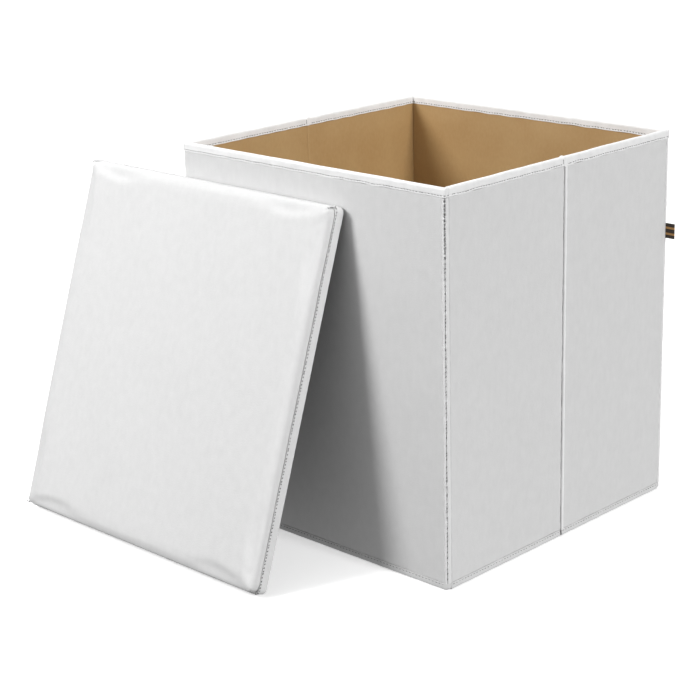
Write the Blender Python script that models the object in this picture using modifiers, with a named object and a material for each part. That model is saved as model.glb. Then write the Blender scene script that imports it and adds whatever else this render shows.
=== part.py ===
"""Folding storage ottoman: a cloth-covered box with a loose padded lid.

Metres, +Z up.  The origin is the middle of the base, on the floor.  +X runs along the front
wall, +Y runs from the front wall to the back wall.  The side walls are made of two halves that
fold inwards at a crease, and the lid leans against the front wall with its pad outwards.
"""

from math import pi, radians, sin

import bmesh
import bpy
from mathutils import Vector

# Driving dimensions of the box.
WIDTH = 0.382
DEPTH = 0.378
HEIGHT = 0.424

# Layers of a wall, from the outside in.
COVER = 0.0016
BOARD = 0.0030
LINING = 0.0008
GAP = 0.0003
WALL = COVER + GAP + BOARD + GAP + LINING

# Top binding: a tape folded over the rim.
TAPE = 0.0008
TAPE_LEG = 0.0095

# Seams at the corners and creases.
CORNER_SEAM = 0.0042
CREASE_CORD_RADIUS = 0.0012
CREASE_AXIS_OUT = 0.0008
CREASE_HALF_GAP = 0.0014

# Base: a cloth, a hem round it, and a loose board on it.
HEM_HEIGHT = 0.0075
BASE_CLOTH = 0.0012
BASE_BOARD = 0.0030
BASE_LINING = 0.0010
BASE_PLAY = 0.0020
WALL_FOOT = HEM_HEIGHT + GAP

# Lid, drawn flat: X across, Y up the lid, Z from the underside to the pad.
LID_WIDTH = 0.386
LID_LENGTH = 0.408
LID_THICKNESS = 0.026
LID_COVER = 0.0014
LID_BOARD = 0.0040
LID_CLOTH = 0.0010
LID_TAPE_WIDTH = 0.0016
LID_TAPE_HEIGHT = 0.0045
LID_EDGE_RADIUS = 0.0070
LID_PLAY = 0.0006
LID_BOARD_INSET = 0.0034

# How the lid leans on the front wall.
LID_LEAN = radians(18.8)
LID_OFFSET = -0.134
LID_WALL_GAP = 0.0015
LID_FLOOR_GAP = 0.0005

# Label sewn into the back right corner.
LABEL_LENGTH = 0.0115
LABEL_HEIGHT = 0.0170
LABEL_THICKNESS = 0.0014
LABEL_MIDDLE = 0.310

# Small rounding of cut edges.
CLOTH_ROUND = 0.0004
BOARD_ROUND = 0.0005

COLLECTION_NAME = "storage_ottoman"


def clear_scene():
    for thing in list(bpy.data.objects):
        bpy.data.objects.remove(thing, do_unlink=True)


def make_material(name, colour, roughness, metallic=0.0):
    material = bpy.data.materials.new(name)
    material.use_nodes = True
    shader = material.node_tree.nodes["Principled BSDF"]
    shader.inputs["Base Color"].default_value = (*colour, 1.0)
    shader.inputs["Roughness"].default_value = roughness
    shader.inputs["Metallic"].default_value = metallic
    return material


def make_empty(name, place, parent=None):
    """An empty at a world place, for instance on a joint's axis."""
    empty = bpy.data.objects.new(name, None)
    empty.empty_display_size = 0.03
    PARTS.objects.link(empty)
    empty.parent = parent
    empty.location = Vector(place) - (world_origin(parent) if parent else Vector())
    return empty


def world_origin(thing):
    """World place of an empty whose parents aren't turned."""
    place = Vector(thing.location)
    while thing.parent:
        thing = thing.parent
        place += thing.location
    return place


def add_object(name, mesh, centre, parent, material):
    piece = bpy.data.objects.new(name, mesh)
    PARTS.objects.link(piece)
    piece.data.materials.append(material)
    piece.parent = parent
    piece.location = centre
    return piece


def round_edges(piece, width, segments=2):
    bevel = piece.modifiers.new("rounded_edges", "BEVEL")
    bevel.width = width
    bevel.segments = segments
    bevel.limit_method = "ANGLE"
    bevel.angle_limit = radians(40.0)
    return bevel


def block_mesh(name, size):
    """A box about its own centre."""
    shape = bmesh.new()
    bmesh.ops.create_cube(shape, size=1.0)
    bmesh.ops.scale(shape, vec=Vector(size), verts=shape.verts)
    mesh = bpy.data.meshes.new(name)
    shape.to_mesh(mesh)
    shape.free()
    return mesh


def box(name, low, high, parent, material, rounding, turned_frame=False):
    """A rounded block between two corners.

    The corners are in the world, or in the parent's own frame where that frame is turned.
    """
    low, high = Vector(low), Vector(high)
    centre = (low + high) / 2.0
    if parent and not turned_frame:
        centre -= world_origin(parent)
    piece = add_object(name, block_mesh(name, high - low), centre, parent, material)
    if rounding:
        round_edges(piece, rounding)
    return piece


def upright_cord(name, centre, bottom, top, radius, parent, material):
    shape = bmesh.new()
    bmesh.ops.create_cone(
        shape, cap_ends=True, segments=16, radius1=radius, radius2=radius, depth=top - bottom
    )
    mesh = bpy.data.meshes.new(name)
    shape.to_mesh(mesh)
    shape.free()
    middle = Vector((centre[0], centre[1], (bottom + top) / 2.0)) - world_origin(parent)
    cord = add_object(name, mesh, middle, parent, material)
    cord.data.shade_smooth()
    cord.data.set_sharp_from_angle(angle=radians(40.0))
    return cord


def open_box_mesh(name, size, open_sides):
    """A box of single faces about its own centre, without the faces whose normals are listed."""
    shape = bmesh.new()
    bmesh.ops.create_cube(shape, size=1.0)
    bmesh.ops.scale(shape, vec=Vector(size), verts=shape.verts)
    shape.normal_update()
    dropped = [f for f in shape.faces for side in open_sides if f.normal.dot(Vector(side)) > 0.9]
    bmesh.ops.delete(shape, geom=dropped, context="FACES")
    mesh = bpy.data.meshes.new(name)
    shape.to_mesh(mesh)
    shape.free()
    return mesh


def thicken_inwards(piece, thickness):
    shell = piece.modifiers.new("cloth_thickness", "SOLIDIFY")
    shell.thickness = thickness
    shell.offset = -1.0
    shell.use_even_offset = True
    return shell


def folded_tape(name, low, high, run_axis, parent, material):
    """Binding folded over a rim: an upside-down U that runs along X or Y."""
    low, high = Vector(low), Vector(high)
    run = Vector(run_axis)
    mesh = open_box_mesh(name, high - low, [(0, 0, -1), run, -run])
    centre = (low + high) / 2.0 - world_origin(parent)
    tape = add_object(name, mesh, centre, parent, material)
    thicken_inwards(tape, TAPE)
    return tape


def wall_span(face, along):
    """The function that turns depths into a wall, and a stretch along it, into box corners.

    face is the outward normal of the wall and along is its horizontal direction.
    """
    face, along = Vector(face), Vector(along)
    outside = WIDTH / 2.0 if abs(face.x) > 0.5 else DEPTH / 2.0

    def corners(start, end, depth_from, depth_to, bottom, top):
        first = along * start + face * (outside - depth_from) + Vector((0.0, 0.0, bottom))
        second = along * end + face * (outside - depth_to) + Vector((0.0, 0.0, top))
        low = Vector(map(min, first, second))
        high = Vector(map(max, first, second))
        return low, high

    return corners


def make_wall(name, face, along, start, end, parent, seam_inset):
    """One wall panel: velvet cover, stiff board, lining, and the binding over its rim.

    seam_inset leaves room at both ends for the corner seams, below the binding.
    """
    corners = wall_span(face, along)
    inner_start, inner_end = start + seam_inset, end - seam_inset
    tape_foot = HEIGHT - TAPE_LEG
    cloth_top = tape_foot - GAP
    board_out = COVER + GAP
    lining_out = board_out + BOARD + GAP
    layers = (
        ("cover", 0.0, COVER, cloth_top, VELVET, CLOTH_ROUND),
        ("board", board_out, board_out + BOARD, HEIGHT - TAPE - GAP, CARDBOARD, BOARD_ROUND),
        ("lining", lining_out, WALL, cloth_top, LINING_CLOTH, 0.0),
    )
    for layer, depth_from, depth_to, top, material, rounding in layers:
        low, high = corners(inner_start, inner_end, depth_from, depth_to, WALL_FOOT, top)
        box(f"{name}_{layer}", low, high, parent, material, rounding)
    low, high = corners(start, end, 0.0, WALL, tape_foot, HEIGHT)
    folded_tape(f"{name}_binding", low, high, along, parent, BINDING)


def make_walls(fold):
    """The front and back walls, and the four halves of the side walls."""
    half_width = WIDTH / 2.0
    inner_half_depth = DEPTH / 2.0 - WALL
    seam = CORNER_SEAM + GAP
    make_wall("front", (0, -1, 0), (1, 0, 0), -half_width, half_width, fold["root"], seam)
    make_wall("back", (0, 1, 0), (1, 0, 0), -half_width, half_width, fold["back"], seam)
    for side, sign in (("right", 1.0), ("left", -1.0)):
        face = (sign, 0, 0)
        near = (-inner_half_depth + GAP, -CREASE_HALF_GAP)
        far = (CREASE_HALF_GAP, inner_half_depth - GAP)
        make_wall(f"{side}_near", face, (0, 1, 0), *near, fold[f"{side}_near"], 0.0)
        make_wall(f"{side}_far", face, (0, 1, 0), *far, fold[f"{side}_far"], 0.0)


def make_seams(fold):
    """Corner seams in the box's four upright edges, and the cord in each crease."""
    seam_top = HEIGHT - TAPE_LEG - GAP
    corners = wall_span((0, -1, 0), (1, 0, 0)), wall_span((0, 1, 0), (1, 0, 0))
    for end, parent, span in zip(("front", "back"), (fold["root"], fold["back"]), corners):
        for side, sign in (("right", 1.0), ("left", -1.0)):
            outer, inner = sign * WIDTH / 2.0, sign * (WIDTH / 2.0 - CORNER_SEAM)
            low, high = span(outer, inner, 0.0, WALL, WALL_FOOT, seam_top)
            box(f"corner_seam_{end}_{side}", low, high, parent, VELVET, 0.0011)
    for side, sign in (("right", 1.0), ("left", -1.0)):
        centre = (sign * (WIDTH / 2.0 + CREASE_AXIS_OUT), 0.0)
        upright_cord(
            f"crease_cord_{side}", centre, WALL_FOOT, HEIGHT - 0.0005,
            CREASE_CORD_RADIUS, fold[f"{side}_near"], VELVET,
        )


def make_base(root, base_frame):
    """The cloth under the box, its hem, and the loose board that stiffens the floor."""
    inner_half_depth = DEPTH / 2.0 - WALL
    for name, face in (("front", (0, -1, 0)), ("back", (0, 1, 0))):
        low, high = wall_span(face, (1, 0, 0))(
            -WIDTH / 2.0, WIDTH / 2.0, 0.0, WALL, 0.0, HEM_HEIGHT
        )
        box(f"hem_{name}", low, high, root, VELVET, 0.0009)
    for side, sign in (("right", 1.0), ("left", -1.0)):
        span = wall_span((sign, 0, 0), (0, 1, 0))
        stretches = (
            ("near", -inner_half_depth + GAP, -CREASE_HALF_GAP),
            ("far", CREASE_HALF_GAP, inner_half_depth - GAP),
        )
        for half, start, end in stretches:
            low, high = span(start, end, 0.0, WALL, 0.0, HEM_HEIGHT)
            box(f"hem_{side}_{half}", low, high, root, VELVET, 0.0009)

    cloth = Vector((WIDTH / 2.0 - WALL - GAP, inner_half_depth - GAP, 0.0))
    box("base_cloth", -cloth, cloth + Vector((0, 0, BASE_CLOTH)), root, BASE_FELT, 0.0)

    inset = Vector((WIDTH / 2.0 - WALL - BASE_PLAY, inner_half_depth - BASE_PLAY, 0.0))
    board_foot = Vector((0, 0, BASE_CLOTH + GAP))
    board_top = board_foot + Vector((0, 0, BASE_BOARD))
    lining_foot = board_top + Vector((0, 0, GAP))
    lining_top = lining_foot + Vector((0, 0, BASE_LINING))
    box("base_board", board_foot - inset, board_top + inset, base_frame, CARDBOARD, BOARD_ROUND)
    box("base_lining", lining_foot - inset, lining_top + inset, base_frame, LINING_CLOTH, 0.0)


def make_label(back):
    """A folded ribbon that stands out of the back right corner seam."""
    middle = Vector((WIDTH / 2.0 + GAP + LABEL_LENGTH / 2.0, DEPTH / 2.0 - WALL / 2.0, LABEL_MIDDLE))
    half = Vector((LABEL_LENGTH / 2.0, LABEL_THICKNESS / 2.0, LABEL_HEIGHT / 2.0))
    box("side_label", middle - half, middle + half, back, LABEL_RIBBON, 0.0003)


def make_lid_frame():
    """The lid's own frame: on the floor, at the middle of its lower edge, leaning on the wall."""
    run = LID_LENGTH * sin(LID_LEAN)
    foot_y = -DEPTH / 2.0 - LID_WALL_GAP - run
    frame = make_empty("lid_frame", (LID_OFFSET, foot_y, LID_FLOOR_GAP))
    frame.rotation_euler = (pi / 2.0 - LID_LEAN, 0.0, 0.0)
    return frame


def make_lid(frame):
    half_width = LID_WIDTH / 2.0
    underside_inset = LID_TAPE_WIDTH + GAP
    board_foot = LID_CLOTH + GAP
    foam_foot = board_foot + LID_BOARD + GAP
    foam_top = LID_THICKNESS - LID_COVER - LID_PLAY
    layers = (
        ("lid_underside", underside_inset, 0.0, LID_CLOTH, BASE_FELT, 0.0),
        ("lid_board", LID_BOARD_INSET, board_foot, board_foot + LID_BOARD, PLYWOOD, BOARD_ROUND),
        ("lid_foam", LID_BOARD_INSET, foam_foot, foam_top, FOAM, LID_EDGE_RADIUS - LID_COVER),
    )
    for name, inset, foot, top, material, rounding in layers:
        low = (-half_width + inset, inset, foot)
        high = (half_width - inset, LID_LENGTH - inset, top)
        box(name, low, high, frame, material, rounding, turned_frame=True)

    foot = LID_TAPE_HEIGHT + GAP
    size = Vector((LID_WIDTH, LID_LENGTH, LID_THICKNESS - foot))
    mesh = open_box_mesh("lid_cover", size, [(0, 0, -1)])
    centre = (0.0, LID_LENGTH / 2.0, (foot + LID_THICKNESS) / 2.0)
    cover = add_object("lid_cover", mesh, centre, frame, VELVET)
    round_edges(cover, LID_EDGE_RADIUS, segments=4)
    thicken_inwards(cover, LID_COVER)

    tape = LID_TAPE_WIDTH
    across = half_width - tape - GAP
    strips = (
        ("left", (-half_width, 0.0), (-half_width + tape, LID_LENGTH)),
        ("right", (half_width - tape, 0.0), (half_width, LID_LENGTH)),
        ("lower", (-across, 0.0), (across, tape)),
        ("upper", (-across, LID_LENGTH - tape), (across, LID_LENGTH)),
    )
    for name, low, high in strips:
        box(
            f"lid_binding_{name}", (*low, 0.0), (*high, LID_TAPE_HEIGHT),
            frame, BINDING, CLOTH_ROUND, turned_frame=True,
        )


def make_fold_frames():
    """Empties on the fold's upright axes, each one carried by the wall that it hangs on."""
    corner_x = WIDTH / 2.0 - WALL
    corner_y = DEPTH / 2.0 - WALL
    crease_x = WIDTH / 2.0 + CREASE_AXIS_OUT
    frames = {"root": make_empty("box_frame", (0, 0, 0))}
    for side, sign in (("right", 1.0), ("left", -1.0)):
        near = make_empty(f"{side}_near_axis", (sign * corner_x, -corner_y, 0), frames["root"])
        frames[f"{side}_near"] = near
        frames[f"{side}_far"] = make_empty(f"{side}_far_axis", (sign * crease_x, 0, 0), near)
    frames["back"] = make_empty("back_axis", (corner_x, corner_y, 0), frames["right_far"])
    return frames


clear_scene()
PARTS = bpy.data.collections.new(COLLECTION_NAME)
bpy.context.scene.collection.children.link(PARTS)

VELVET = make_material("light_grey_velvet", (0.62, 0.62, 0.62), 0.85)
BINDING = make_material("white_binding_tape", (0.80, 0.80, 0.80), 0.75)
LINING_CLOTH = make_material("tan_lining", (0.42, 0.27, 0.12), 0.80)
CARDBOARD = make_material("stiff_board", (0.45, 0.34, 0.22), 0.85)
BASE_FELT = make_material("base_felt", (0.10, 0.10, 0.10), 0.95)
PLYWOOD = make_material("plywood", (0.52, 0.38, 0.22), 0.60)
FOAM = make_material("foam", (0.85, 0.80, 0.60), 0.95)
LABEL_RIBBON = make_material("dark_ribbon", (0.05, 0.035, 0.025), 0.70)

FOLD = make_fold_frames()
make_walls(FOLD)
make_seams(FOLD)
make_base(FOLD["root"], make_empty("base_frame", (0, 0, 0)))
make_label(FOLD["back"])
make_lid(make_lid_frame())
bpy.context.view_layer.update()
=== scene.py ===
"""Looks of a folding storage ottoman: velvet walls, tan lining, bound rim and a leaning padded lid.

Everything is in metres, +Z up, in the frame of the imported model.  +X runs along the front wall, +Y
runs from the front wall to the back wall, and the lid leans against the front wall.
"""

import logging
from dataclasses import dataclass, field
from enum import Enum
from math import cos, pi, radians, sin, tau
from typing import Optional, Sequence

import bmesh
import bpy
import numpy as np
from mathutils import Matrix, Vector


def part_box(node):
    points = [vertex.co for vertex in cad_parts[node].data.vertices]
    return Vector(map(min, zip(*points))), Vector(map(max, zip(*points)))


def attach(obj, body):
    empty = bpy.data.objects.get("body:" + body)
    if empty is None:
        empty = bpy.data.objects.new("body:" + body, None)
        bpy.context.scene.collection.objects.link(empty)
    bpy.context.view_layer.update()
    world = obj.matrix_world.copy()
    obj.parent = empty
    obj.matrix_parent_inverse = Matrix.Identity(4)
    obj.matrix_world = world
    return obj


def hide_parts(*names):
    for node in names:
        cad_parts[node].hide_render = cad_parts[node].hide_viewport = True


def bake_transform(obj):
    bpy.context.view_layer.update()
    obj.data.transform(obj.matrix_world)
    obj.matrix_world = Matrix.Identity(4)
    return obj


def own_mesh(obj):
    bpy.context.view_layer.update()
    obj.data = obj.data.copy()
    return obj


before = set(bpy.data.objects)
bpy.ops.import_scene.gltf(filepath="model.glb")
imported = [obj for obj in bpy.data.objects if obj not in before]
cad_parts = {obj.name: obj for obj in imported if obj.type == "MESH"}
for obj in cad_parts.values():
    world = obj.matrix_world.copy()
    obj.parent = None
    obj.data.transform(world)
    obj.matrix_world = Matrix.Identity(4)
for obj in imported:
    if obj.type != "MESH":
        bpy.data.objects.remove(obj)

LOG = logging.getLogger("storage_ottoman")
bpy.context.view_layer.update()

Array = np.ndarray

WALL_DEPTH = 0.006


class Side(Enum):
    """The two side walls, by the sign of X."""

    RIGHT = 1
    LEFT = -1


class Layer(Enum):
    """The layers of a wall, by the last word of their CAD node's name."""

    COVER = "cover"
    BOARD = "board"
    LINING = "lining"
    BINDING = "binding"


class Slot(Enum):
    """Names of the material slots; FlatCloth keeps one, but no step reads it."""

    VELVET = "velvet"
    TAPE = "binding_tape"
    LINING = "lining"
    UNDERCLOTH = "underside_cloth"
    LABEL = "label"


# ---------------------------------------------------------------------------------------------
# Colours and materials
# ---------------------------------------------------------------------------------------------


def linear(colour: str) -> tuple:
    """Turn an sRGB hex colour into linear red, green, blue and alpha.

    Args:
        colour: six hex digits after a hash.

    Returns:
        Four numbers, the last one 1.
    """
    channels = [int(colour[i : i + 2], 16) / 255.0 for i in (1, 3, 5)]
    turned = [c / 12.92 if c <= 0.04045 else ((c + 0.055) / 1.055) ** 2.4 for c in channels]
    return (*turned, 1.0)


def per_metre(millimetres: float) -> float:
    """The scale of a texture whose features are this many millimetres across."""
    return 1000.0 / millimetres


def add_node(
    tree: bpy.types.NodeTree, kind: str, inputs: Optional[dict] = None, **settings: object
) -> bpy.types.Node:
    """Add a shader node with its settings, values and links.

    Args:
        tree: the node tree that it joins.
        kind: the node's type name in Blender.
        inputs: for each input, by name or number, a value or the output that feeds it.
        settings: the node's own properties.

    Returns:
        The new node.
    """
    node = tree.nodes.new(kind)
    for name, value in settings.items():
        setattr(node, name, value)
    for key, value in (inputs or {}).items():
        if isinstance(value, bpy.types.NodeSocket):
            tree.links.new(value, node.inputs[key])
        else:
            node.inputs[key].default_value = value
    return node


# The numbers of the Mix node's colour sockets.
MIX_FACTOR, MIX_FIRST, MIX_SECOND, MIX_RESULT = 0, 6, 7, 2


@dataclass(frozen=True)
class Finish:
    """What all finishes share: a name, two shades of one colour, and how rough the surface is.

    The tones are the pattern heights at which the surface is quite dark and quite light.
    """

    name: str
    light: str
    dark: str
    roughness: float
    tones: tuple = (0.3, 0.7)

    def begin(self) -> tuple:
        """Start the material.

        Returns:
            The material, its node tree, its shader and the coordinates fixed to the object.
        """
        material = bpy.data.materials.new(self.name)
        material.use_nodes = True
        tree = material.node_tree
        shader = tree.nodes["Principled BSDF"]
        shader.inputs["Roughness"].default_value = self.roughness
        shader.inputs["Metallic"].default_value = 0.0
        place = add_node(tree, "ShaderNodeTexCoord").outputs["Object"]
        return material, tree, shader, place

    def noise(
        self, tree: bpy.types.NodeTree, place: bpy.types.NodeSocket, size: Sequence[float], detail: float
    ) -> bpy.types.NodeSocket:
        """Cloudy noise whose features have a size in millimetres along each axis.

        Args:
            tree: the material's nodes.
            place: the coordinates.
            size: millimetres along X, Y and Z.
            detail: how many finer layers lie in it.

        Returns:
            The output with the noise's height.
        """
        scaled = add_node(
            tree, "ShaderNodeMapping",
            {"Vector": place, "Scale": tuple(per_metre(s) for s in size)},
        ).outputs["Vector"]
        return add_node(
            tree, "ShaderNodeTexNoise", {"Vector": scaled, "Scale": 1.0, "Detail": detail},
        ).outputs["Fac"]

    def shade(
        self, tree: bpy.types.NodeTree, shader: bpy.types.Node, height: bpy.types.NodeSocket
    ) -> bpy.types.Node:
        """Colour the shader from dark to light as a height goes through the tones.

        Args:
            tree, shader: the material's nodes and its shader.
            height: the output that says where the surface is light.

        Returns:
            The node that mixes the two shades.
        """
        dark_at, light_at = self.tones
        factor = add_node(
            tree, "ShaderNodeMapRange", {"Value": height, "From Min": dark_at, "From Max": light_at}
        ).outputs["Result"]
        mixed = add_node(
            tree, "ShaderNodeMix",
            {MIX_FACTOR: factor, MIX_FIRST: linear(self.dark), MIX_SECOND: linear(self.light)},
            data_type="RGBA",
        )
        tree.links.new(mixed.outputs[MIX_RESULT], shader.inputs["Base Color"])
        return mixed

    def bump(
        self, tree: bpy.types.NodeTree, shader: bpy.types.Node, height: bpy.types.NodeSocket,
        depth: float, strength: float,
    ) -> None:
        """Press a height into the surface.

        Args:
            tree, shader: the material's nodes and its shader.
            height: the output that gives the height.
            depth: how deep it goes, in metres.
            strength: how much of it the eye sees, from 0 to 1.
        """
        pressed = add_node(
            tree, "ShaderNodeBump", {"Strength": strength, "Distance": depth, "Height": height}
        )
        tree.links.new(pressed.outputs["Normal"], shader.inputs["Normal"])

    def blend_heights(
        self, tree: bpy.types.NodeTree, first: bpy.types.NodeSocket, second: bpy.types.NodeSocket,
        share: float,
    ) -> bpy.types.NodeSocket:
        """Mix two heights.

        Args:
            tree: the material's nodes.
            first, second: the outputs that give the heights.
            share: how much of the second there is, from 0 to 1.

        Returns:
            The output with the mixed height.
        """
        kept = add_node(
            tree, "ShaderNodeMath", {0: first, 1: 1.0 - share}, operation="MULTIPLY"
        ).outputs[0]
        return add_node(
            tree, "ShaderNodeMath", {0: second, 1: share, 2: kept}, operation="MULTIPLY_ADD"
        ).outputs[0]


@dataclass(frozen=True)
class Velvet(Finish):
    """Short-pile polyester velvet, woven and cut.

    The pile lies in slightly different directions, which gives soft patches and faint upright
    streaks, and it brightens where it is seen along its surface.
    """

    patch: float = 11.0
    streak: tuple = (5.0, 5.0, 15.0)
    pile: float = 1.5
    tones: tuple = (0.26, 0.72)
    pile_depth: float = 0.0006
    sheen: float = 0.25
    sheen_roughness: float = 0.45
    ior: float = 1.46
    specular: float = 0.25

    def make(self) -> bpy.types.Material:
        """Build the material.

        Returns:
            The material.
        """
        material, tree, shader, place = self.begin()
        patches = self.noise(tree, place, (self.patch,) * 3, 5.0)
        streaks = self.noise(tree, place, self.streak, 3.0)
        # Real pile is about 0.3 mm apart; it is drawn coarser so that it shows.
        pile = self.noise(tree, place, (self.pile,) * 3, 2.0)
        lie = self.blend_heights(tree, patches, streaks, 0.45)
        tone = self.blend_heights(tree, lie, pile, 0.22)
        self.shade(tree, shader, tone)
        self.bump(tree, shader, self.blend_heights(tree, pile, patches, 0.3), self.pile_depth, 0.35)
        shader.inputs["Sheen Weight"].default_value = self.sheen
        shader.inputs["Sheen Roughness"].default_value = self.sheen_roughness
        shader.inputs["IOR"].default_value = self.ior
        shader.inputs["Specular IOR Level"].default_value = self.specular
        return material


@dataclass(frozen=True)
class WovenTape(Finish):
    """Cotton-polyester binding, woven as a narrow plain-weave tape.

    Its threads cross at right angles and give it a fine, even, matt tooth.
    """

    thread: float = 1.1
    soil: float = 9.0
    tones: tuple = (0.3, 0.62)
    thread_depth: float = 0.0003
    ior: float = 1.5
    specular: float = 0.3

    def make(self) -> bpy.types.Material:
        """Build the material.

        Returns:
            The material.
        """
        material, tree, shader, place = self.begin()
        # Real threads are about 0.4 mm apart; they are drawn coarser so that they show.
        threads = {"Vector": place, "Scale": per_metre(self.thread) / tau * 2.0, "Distortion": 0.6}
        across, along = (
            add_node(tree, "ShaderNodeTexWave", threads, bands_direction=way).outputs["Fac"]
            for way in ("DIAGONAL", "Z")
        )
        weave = self.blend_heights(tree, across, along, 0.5)
        soil = self.noise(tree, place, (self.soil,) * 3, 4.0)
        self.shade(tree, shader, self.blend_heights(tree, soil, weave, 0.3))
        self.bump(tree, shader, weave, self.thread_depth, 0.4)
        shader.inputs["IOR"].default_value = self.ior
        shader.inputs["Specular IOR Level"].default_value = self.specular
        return material


@dataclass(frozen=True)
class Nonwoven(Finish):
    """Spun-bonded polypropylene cloth, pressed from loose fibre between hot dimpled rollers.

    It is smooth and matt with a faint satin shine and a fine regular dimple.
    """

    dimple: float = 2.0
    dimple_depth: float = 0.0002
    cloud: float = 60.0
    fibre: tuple = (3.0, 3.0, 5.0)
    ior: float = 1.49

    def make(self) -> bpy.types.Material:
        """Build the material.

        Returns:
            The material.
        """
        material, tree, shader, place = self.begin()
        clouds = self.noise(tree, place, (self.cloud,) * 3, 3.0)
        fibre = self.noise(tree, place, self.fibre, 5.0)
        # Real dimples are about 1 mm apart; they are drawn coarser so that they show.
        dimples = add_node(
            tree, "ShaderNodeTexVoronoi", {"Vector": place, "Scale": per_metre(self.dimple)},
            feature="SMOOTH_F1",
        ).outputs["Distance"]
        self.shade(tree, shader, self.blend_heights(tree, clouds, fibre, 0.35))
        relief = self.blend_heights(tree, fibre, dimples, 0.5)
        self.bump(tree, shader, relief, self.dimple_depth, 0.3)
        shader.inputs["IOR"].default_value = self.ior
        return material


@dataclass(frozen=True)
class Fibreboard(Finish):
    """Stiff board, pressed from fibre: even, dull and slightly flecked."""

    fleck: float = 2.5
    tones: tuple = (0.35, 0.65)
    fleck_depth: float = 0.0002

    def make(self) -> bpy.types.Material:
        """Build the material.

        Returns:
            The material.
        """
        material, tree, shader, place = self.begin()
        flecks = self.noise(tree, place, (self.fleck,) * 3, 6.0)
        self.shade(tree, shader, flecks)
        self.bump(tree, shader, flecks, self.fleck_depth, 0.3)
        return material


@dataclass(frozen=True)
class Plywood(Finish):
    """Rotary-cut poplar plywood, sanded: long pale grain with darker pores."""

    grain: tuple = (3.0, 60.0, 3.0)
    pore_depth: float = 0.0002

    def make(self) -> bpy.types.Material:
        """Build the material.

        Returns:
            The material.
        """
        material, tree, shader, place = self.begin()
        grain = self.noise(tree, place, self.grain, 6.0)
        self.shade(tree, shader, grain)
        self.bump(tree, shader, grain, self.pore_depth, 0.3)
        return material


@dataclass(frozen=True)
class Thread(Finish):
    """Twisted polyester sewing thread: a dull round cord with a fine slanted twist."""

    twist: float = 0.5
    twist_depth: float = 0.0001

    def make(self) -> bpy.types.Material:
        """Build the material.

        Returns:
            The material.
        """
        material, tree, shader, place = self.begin()
        strands = self.noise(tree, place, (self.twist,) * 3, 2.0)
        self.shade(tree, shader, strands)
        self.bump(tree, shader, strands, self.twist_depth, 0.3)
        return material


@dataclass(frozen=True)
class StripedRibbon(Finish):
    """Damask-woven label ribbon: a dark ground with two plain tan stripes."""

    stripe: str = "#B98A4E"
    stripe_at: tuple = (0.3, 0.7)
    stripe_half: float = 0.07
    weave: float = 0.8
    weave_depth: float = 0.0002

    def make(self) -> bpy.types.Material:
        """Build the material.

        Returns:
            The material.
        """
        material, tree, shader, place = self.begin()
        weave = self.noise(tree, place, (self.weave,) * 3, 2.0)
        ground = self.shade(tree, shader, weave)
        up = add_node(tree, "ShaderNodeTexCoord").outputs["Generated"]
        height = add_node(tree, "ShaderNodeSeparateXYZ", {"Vector": up}).outputs["Z"]
        colour = ground.outputs[MIX_RESULT]
        for middle in self.stripe_at:
            inside = add_node(
                tree, "ShaderNodeMath", {0: height, 1: middle, 2: self.stripe_half},
                operation="COMPARE",
            ).outputs[0]
            colour = add_node(
                tree, "ShaderNodeMix",
                {MIX_FACTOR: inside, MIX_FIRST: colour, MIX_SECOND: linear(self.stripe)},
                data_type="RGBA",
            ).outputs[MIX_RESULT]
        tree.links.new(colour, shader.inputs["Base Color"])
        self.bump(tree, shader, weave, self.weave_depth, 0.4)
        return material


@dataclass(frozen=True)
class StudioPaint(Finish):
    """Matt white emulsion, rolled on the studio's floor and wall, with a glow that keeps it white."""

    cloud: float = 900.0
    glow: float = 0.38

    def make(self) -> bpy.types.Material:
        """Build the material.

        Returns:
            The material.
        """
        material, tree, shader, place = self.begin()
        clouds = self.noise(tree, place, (self.cloud,) * 3, 2.0)
        self.shade(tree, shader, clouds)
        shader.inputs["Emission Color"].default_value = (1.0, 1.0, 1.0, 1.0)
        shader.inputs["Emission Strength"].default_value = self.glow
        return material


@dataclass
class Wardrobe:
    """All the finishes of the ottoman, each made once."""

    made: dict = field(default_factory=dict)

    def get(self, finish: Finish) -> bpy.types.Material:
        """Fetch the material of a finish, made when it is first asked for.

        Args:
            finish: the finish.

        Returns:
            Its material, the same one every time.
        """
        if finish.name not in self.made:
            self.made[finish.name] = finish.make()
        return self.made[finish.name]


VELVET = Velvet("light_grey_velvet", "#D9D9D9", "#D0D0D0", 0.88)
# The same velvet on the fold ironed into each side wall's crease, painted almost white: a painted highlight
# along the fold's ridge.
FOLD_VELVET_PAINTED_HIGHLIGHT = Velvet("pressed_velvet_fold", "#F6F6F6", "#ECECEC", 0.8)
# The same velvet, a little paler than the open cloth, on the corner seams.
SEAM_VELVET = Velvet("velvet_pressed_at_a_seam", "#E4E4E4", "#DADADA", 0.85)
BINDING = WovenTape("white_binding_tape", "#EDEDED", "#E2E2E2", 0.8)
LINING = Nonwoven("tan_nonwoven_lining", "#B29364", "#A68454", 0.62)
UNDERCLOTH = Nonwoven("charcoal_nonwoven_undercloth", "#3C3C3D", "#2C2C2D", 0.85)
HARDBOARD = Fibreboard("grey_brown_fibreboard", "#A08C72", "#857259", 0.85)
POPLAR = Plywood("poplar_plywood", "#D2B48A", "#B08E62", 0.6)
WHITE_THREAD = Thread("white_sewing_thread", "#EFEFEF", "#DCDCDC", 0.7)
GREY_THREAD = Thread("grey_sewing_thread", "#747474", "#5A5A5A", 0.7)
DARK_THREAD = Thread("dark_sewing_thread", "#5C5C5C", "#444444", 0.7)
RIBBON = StripedRibbon("dark_woven_ribbon", "#33261B", "#1E150E", 0.6)
FLOOR = StudioPaint("matt_white_floor", "#F6F6F6", "#F3F3F3", 0.9)
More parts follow.
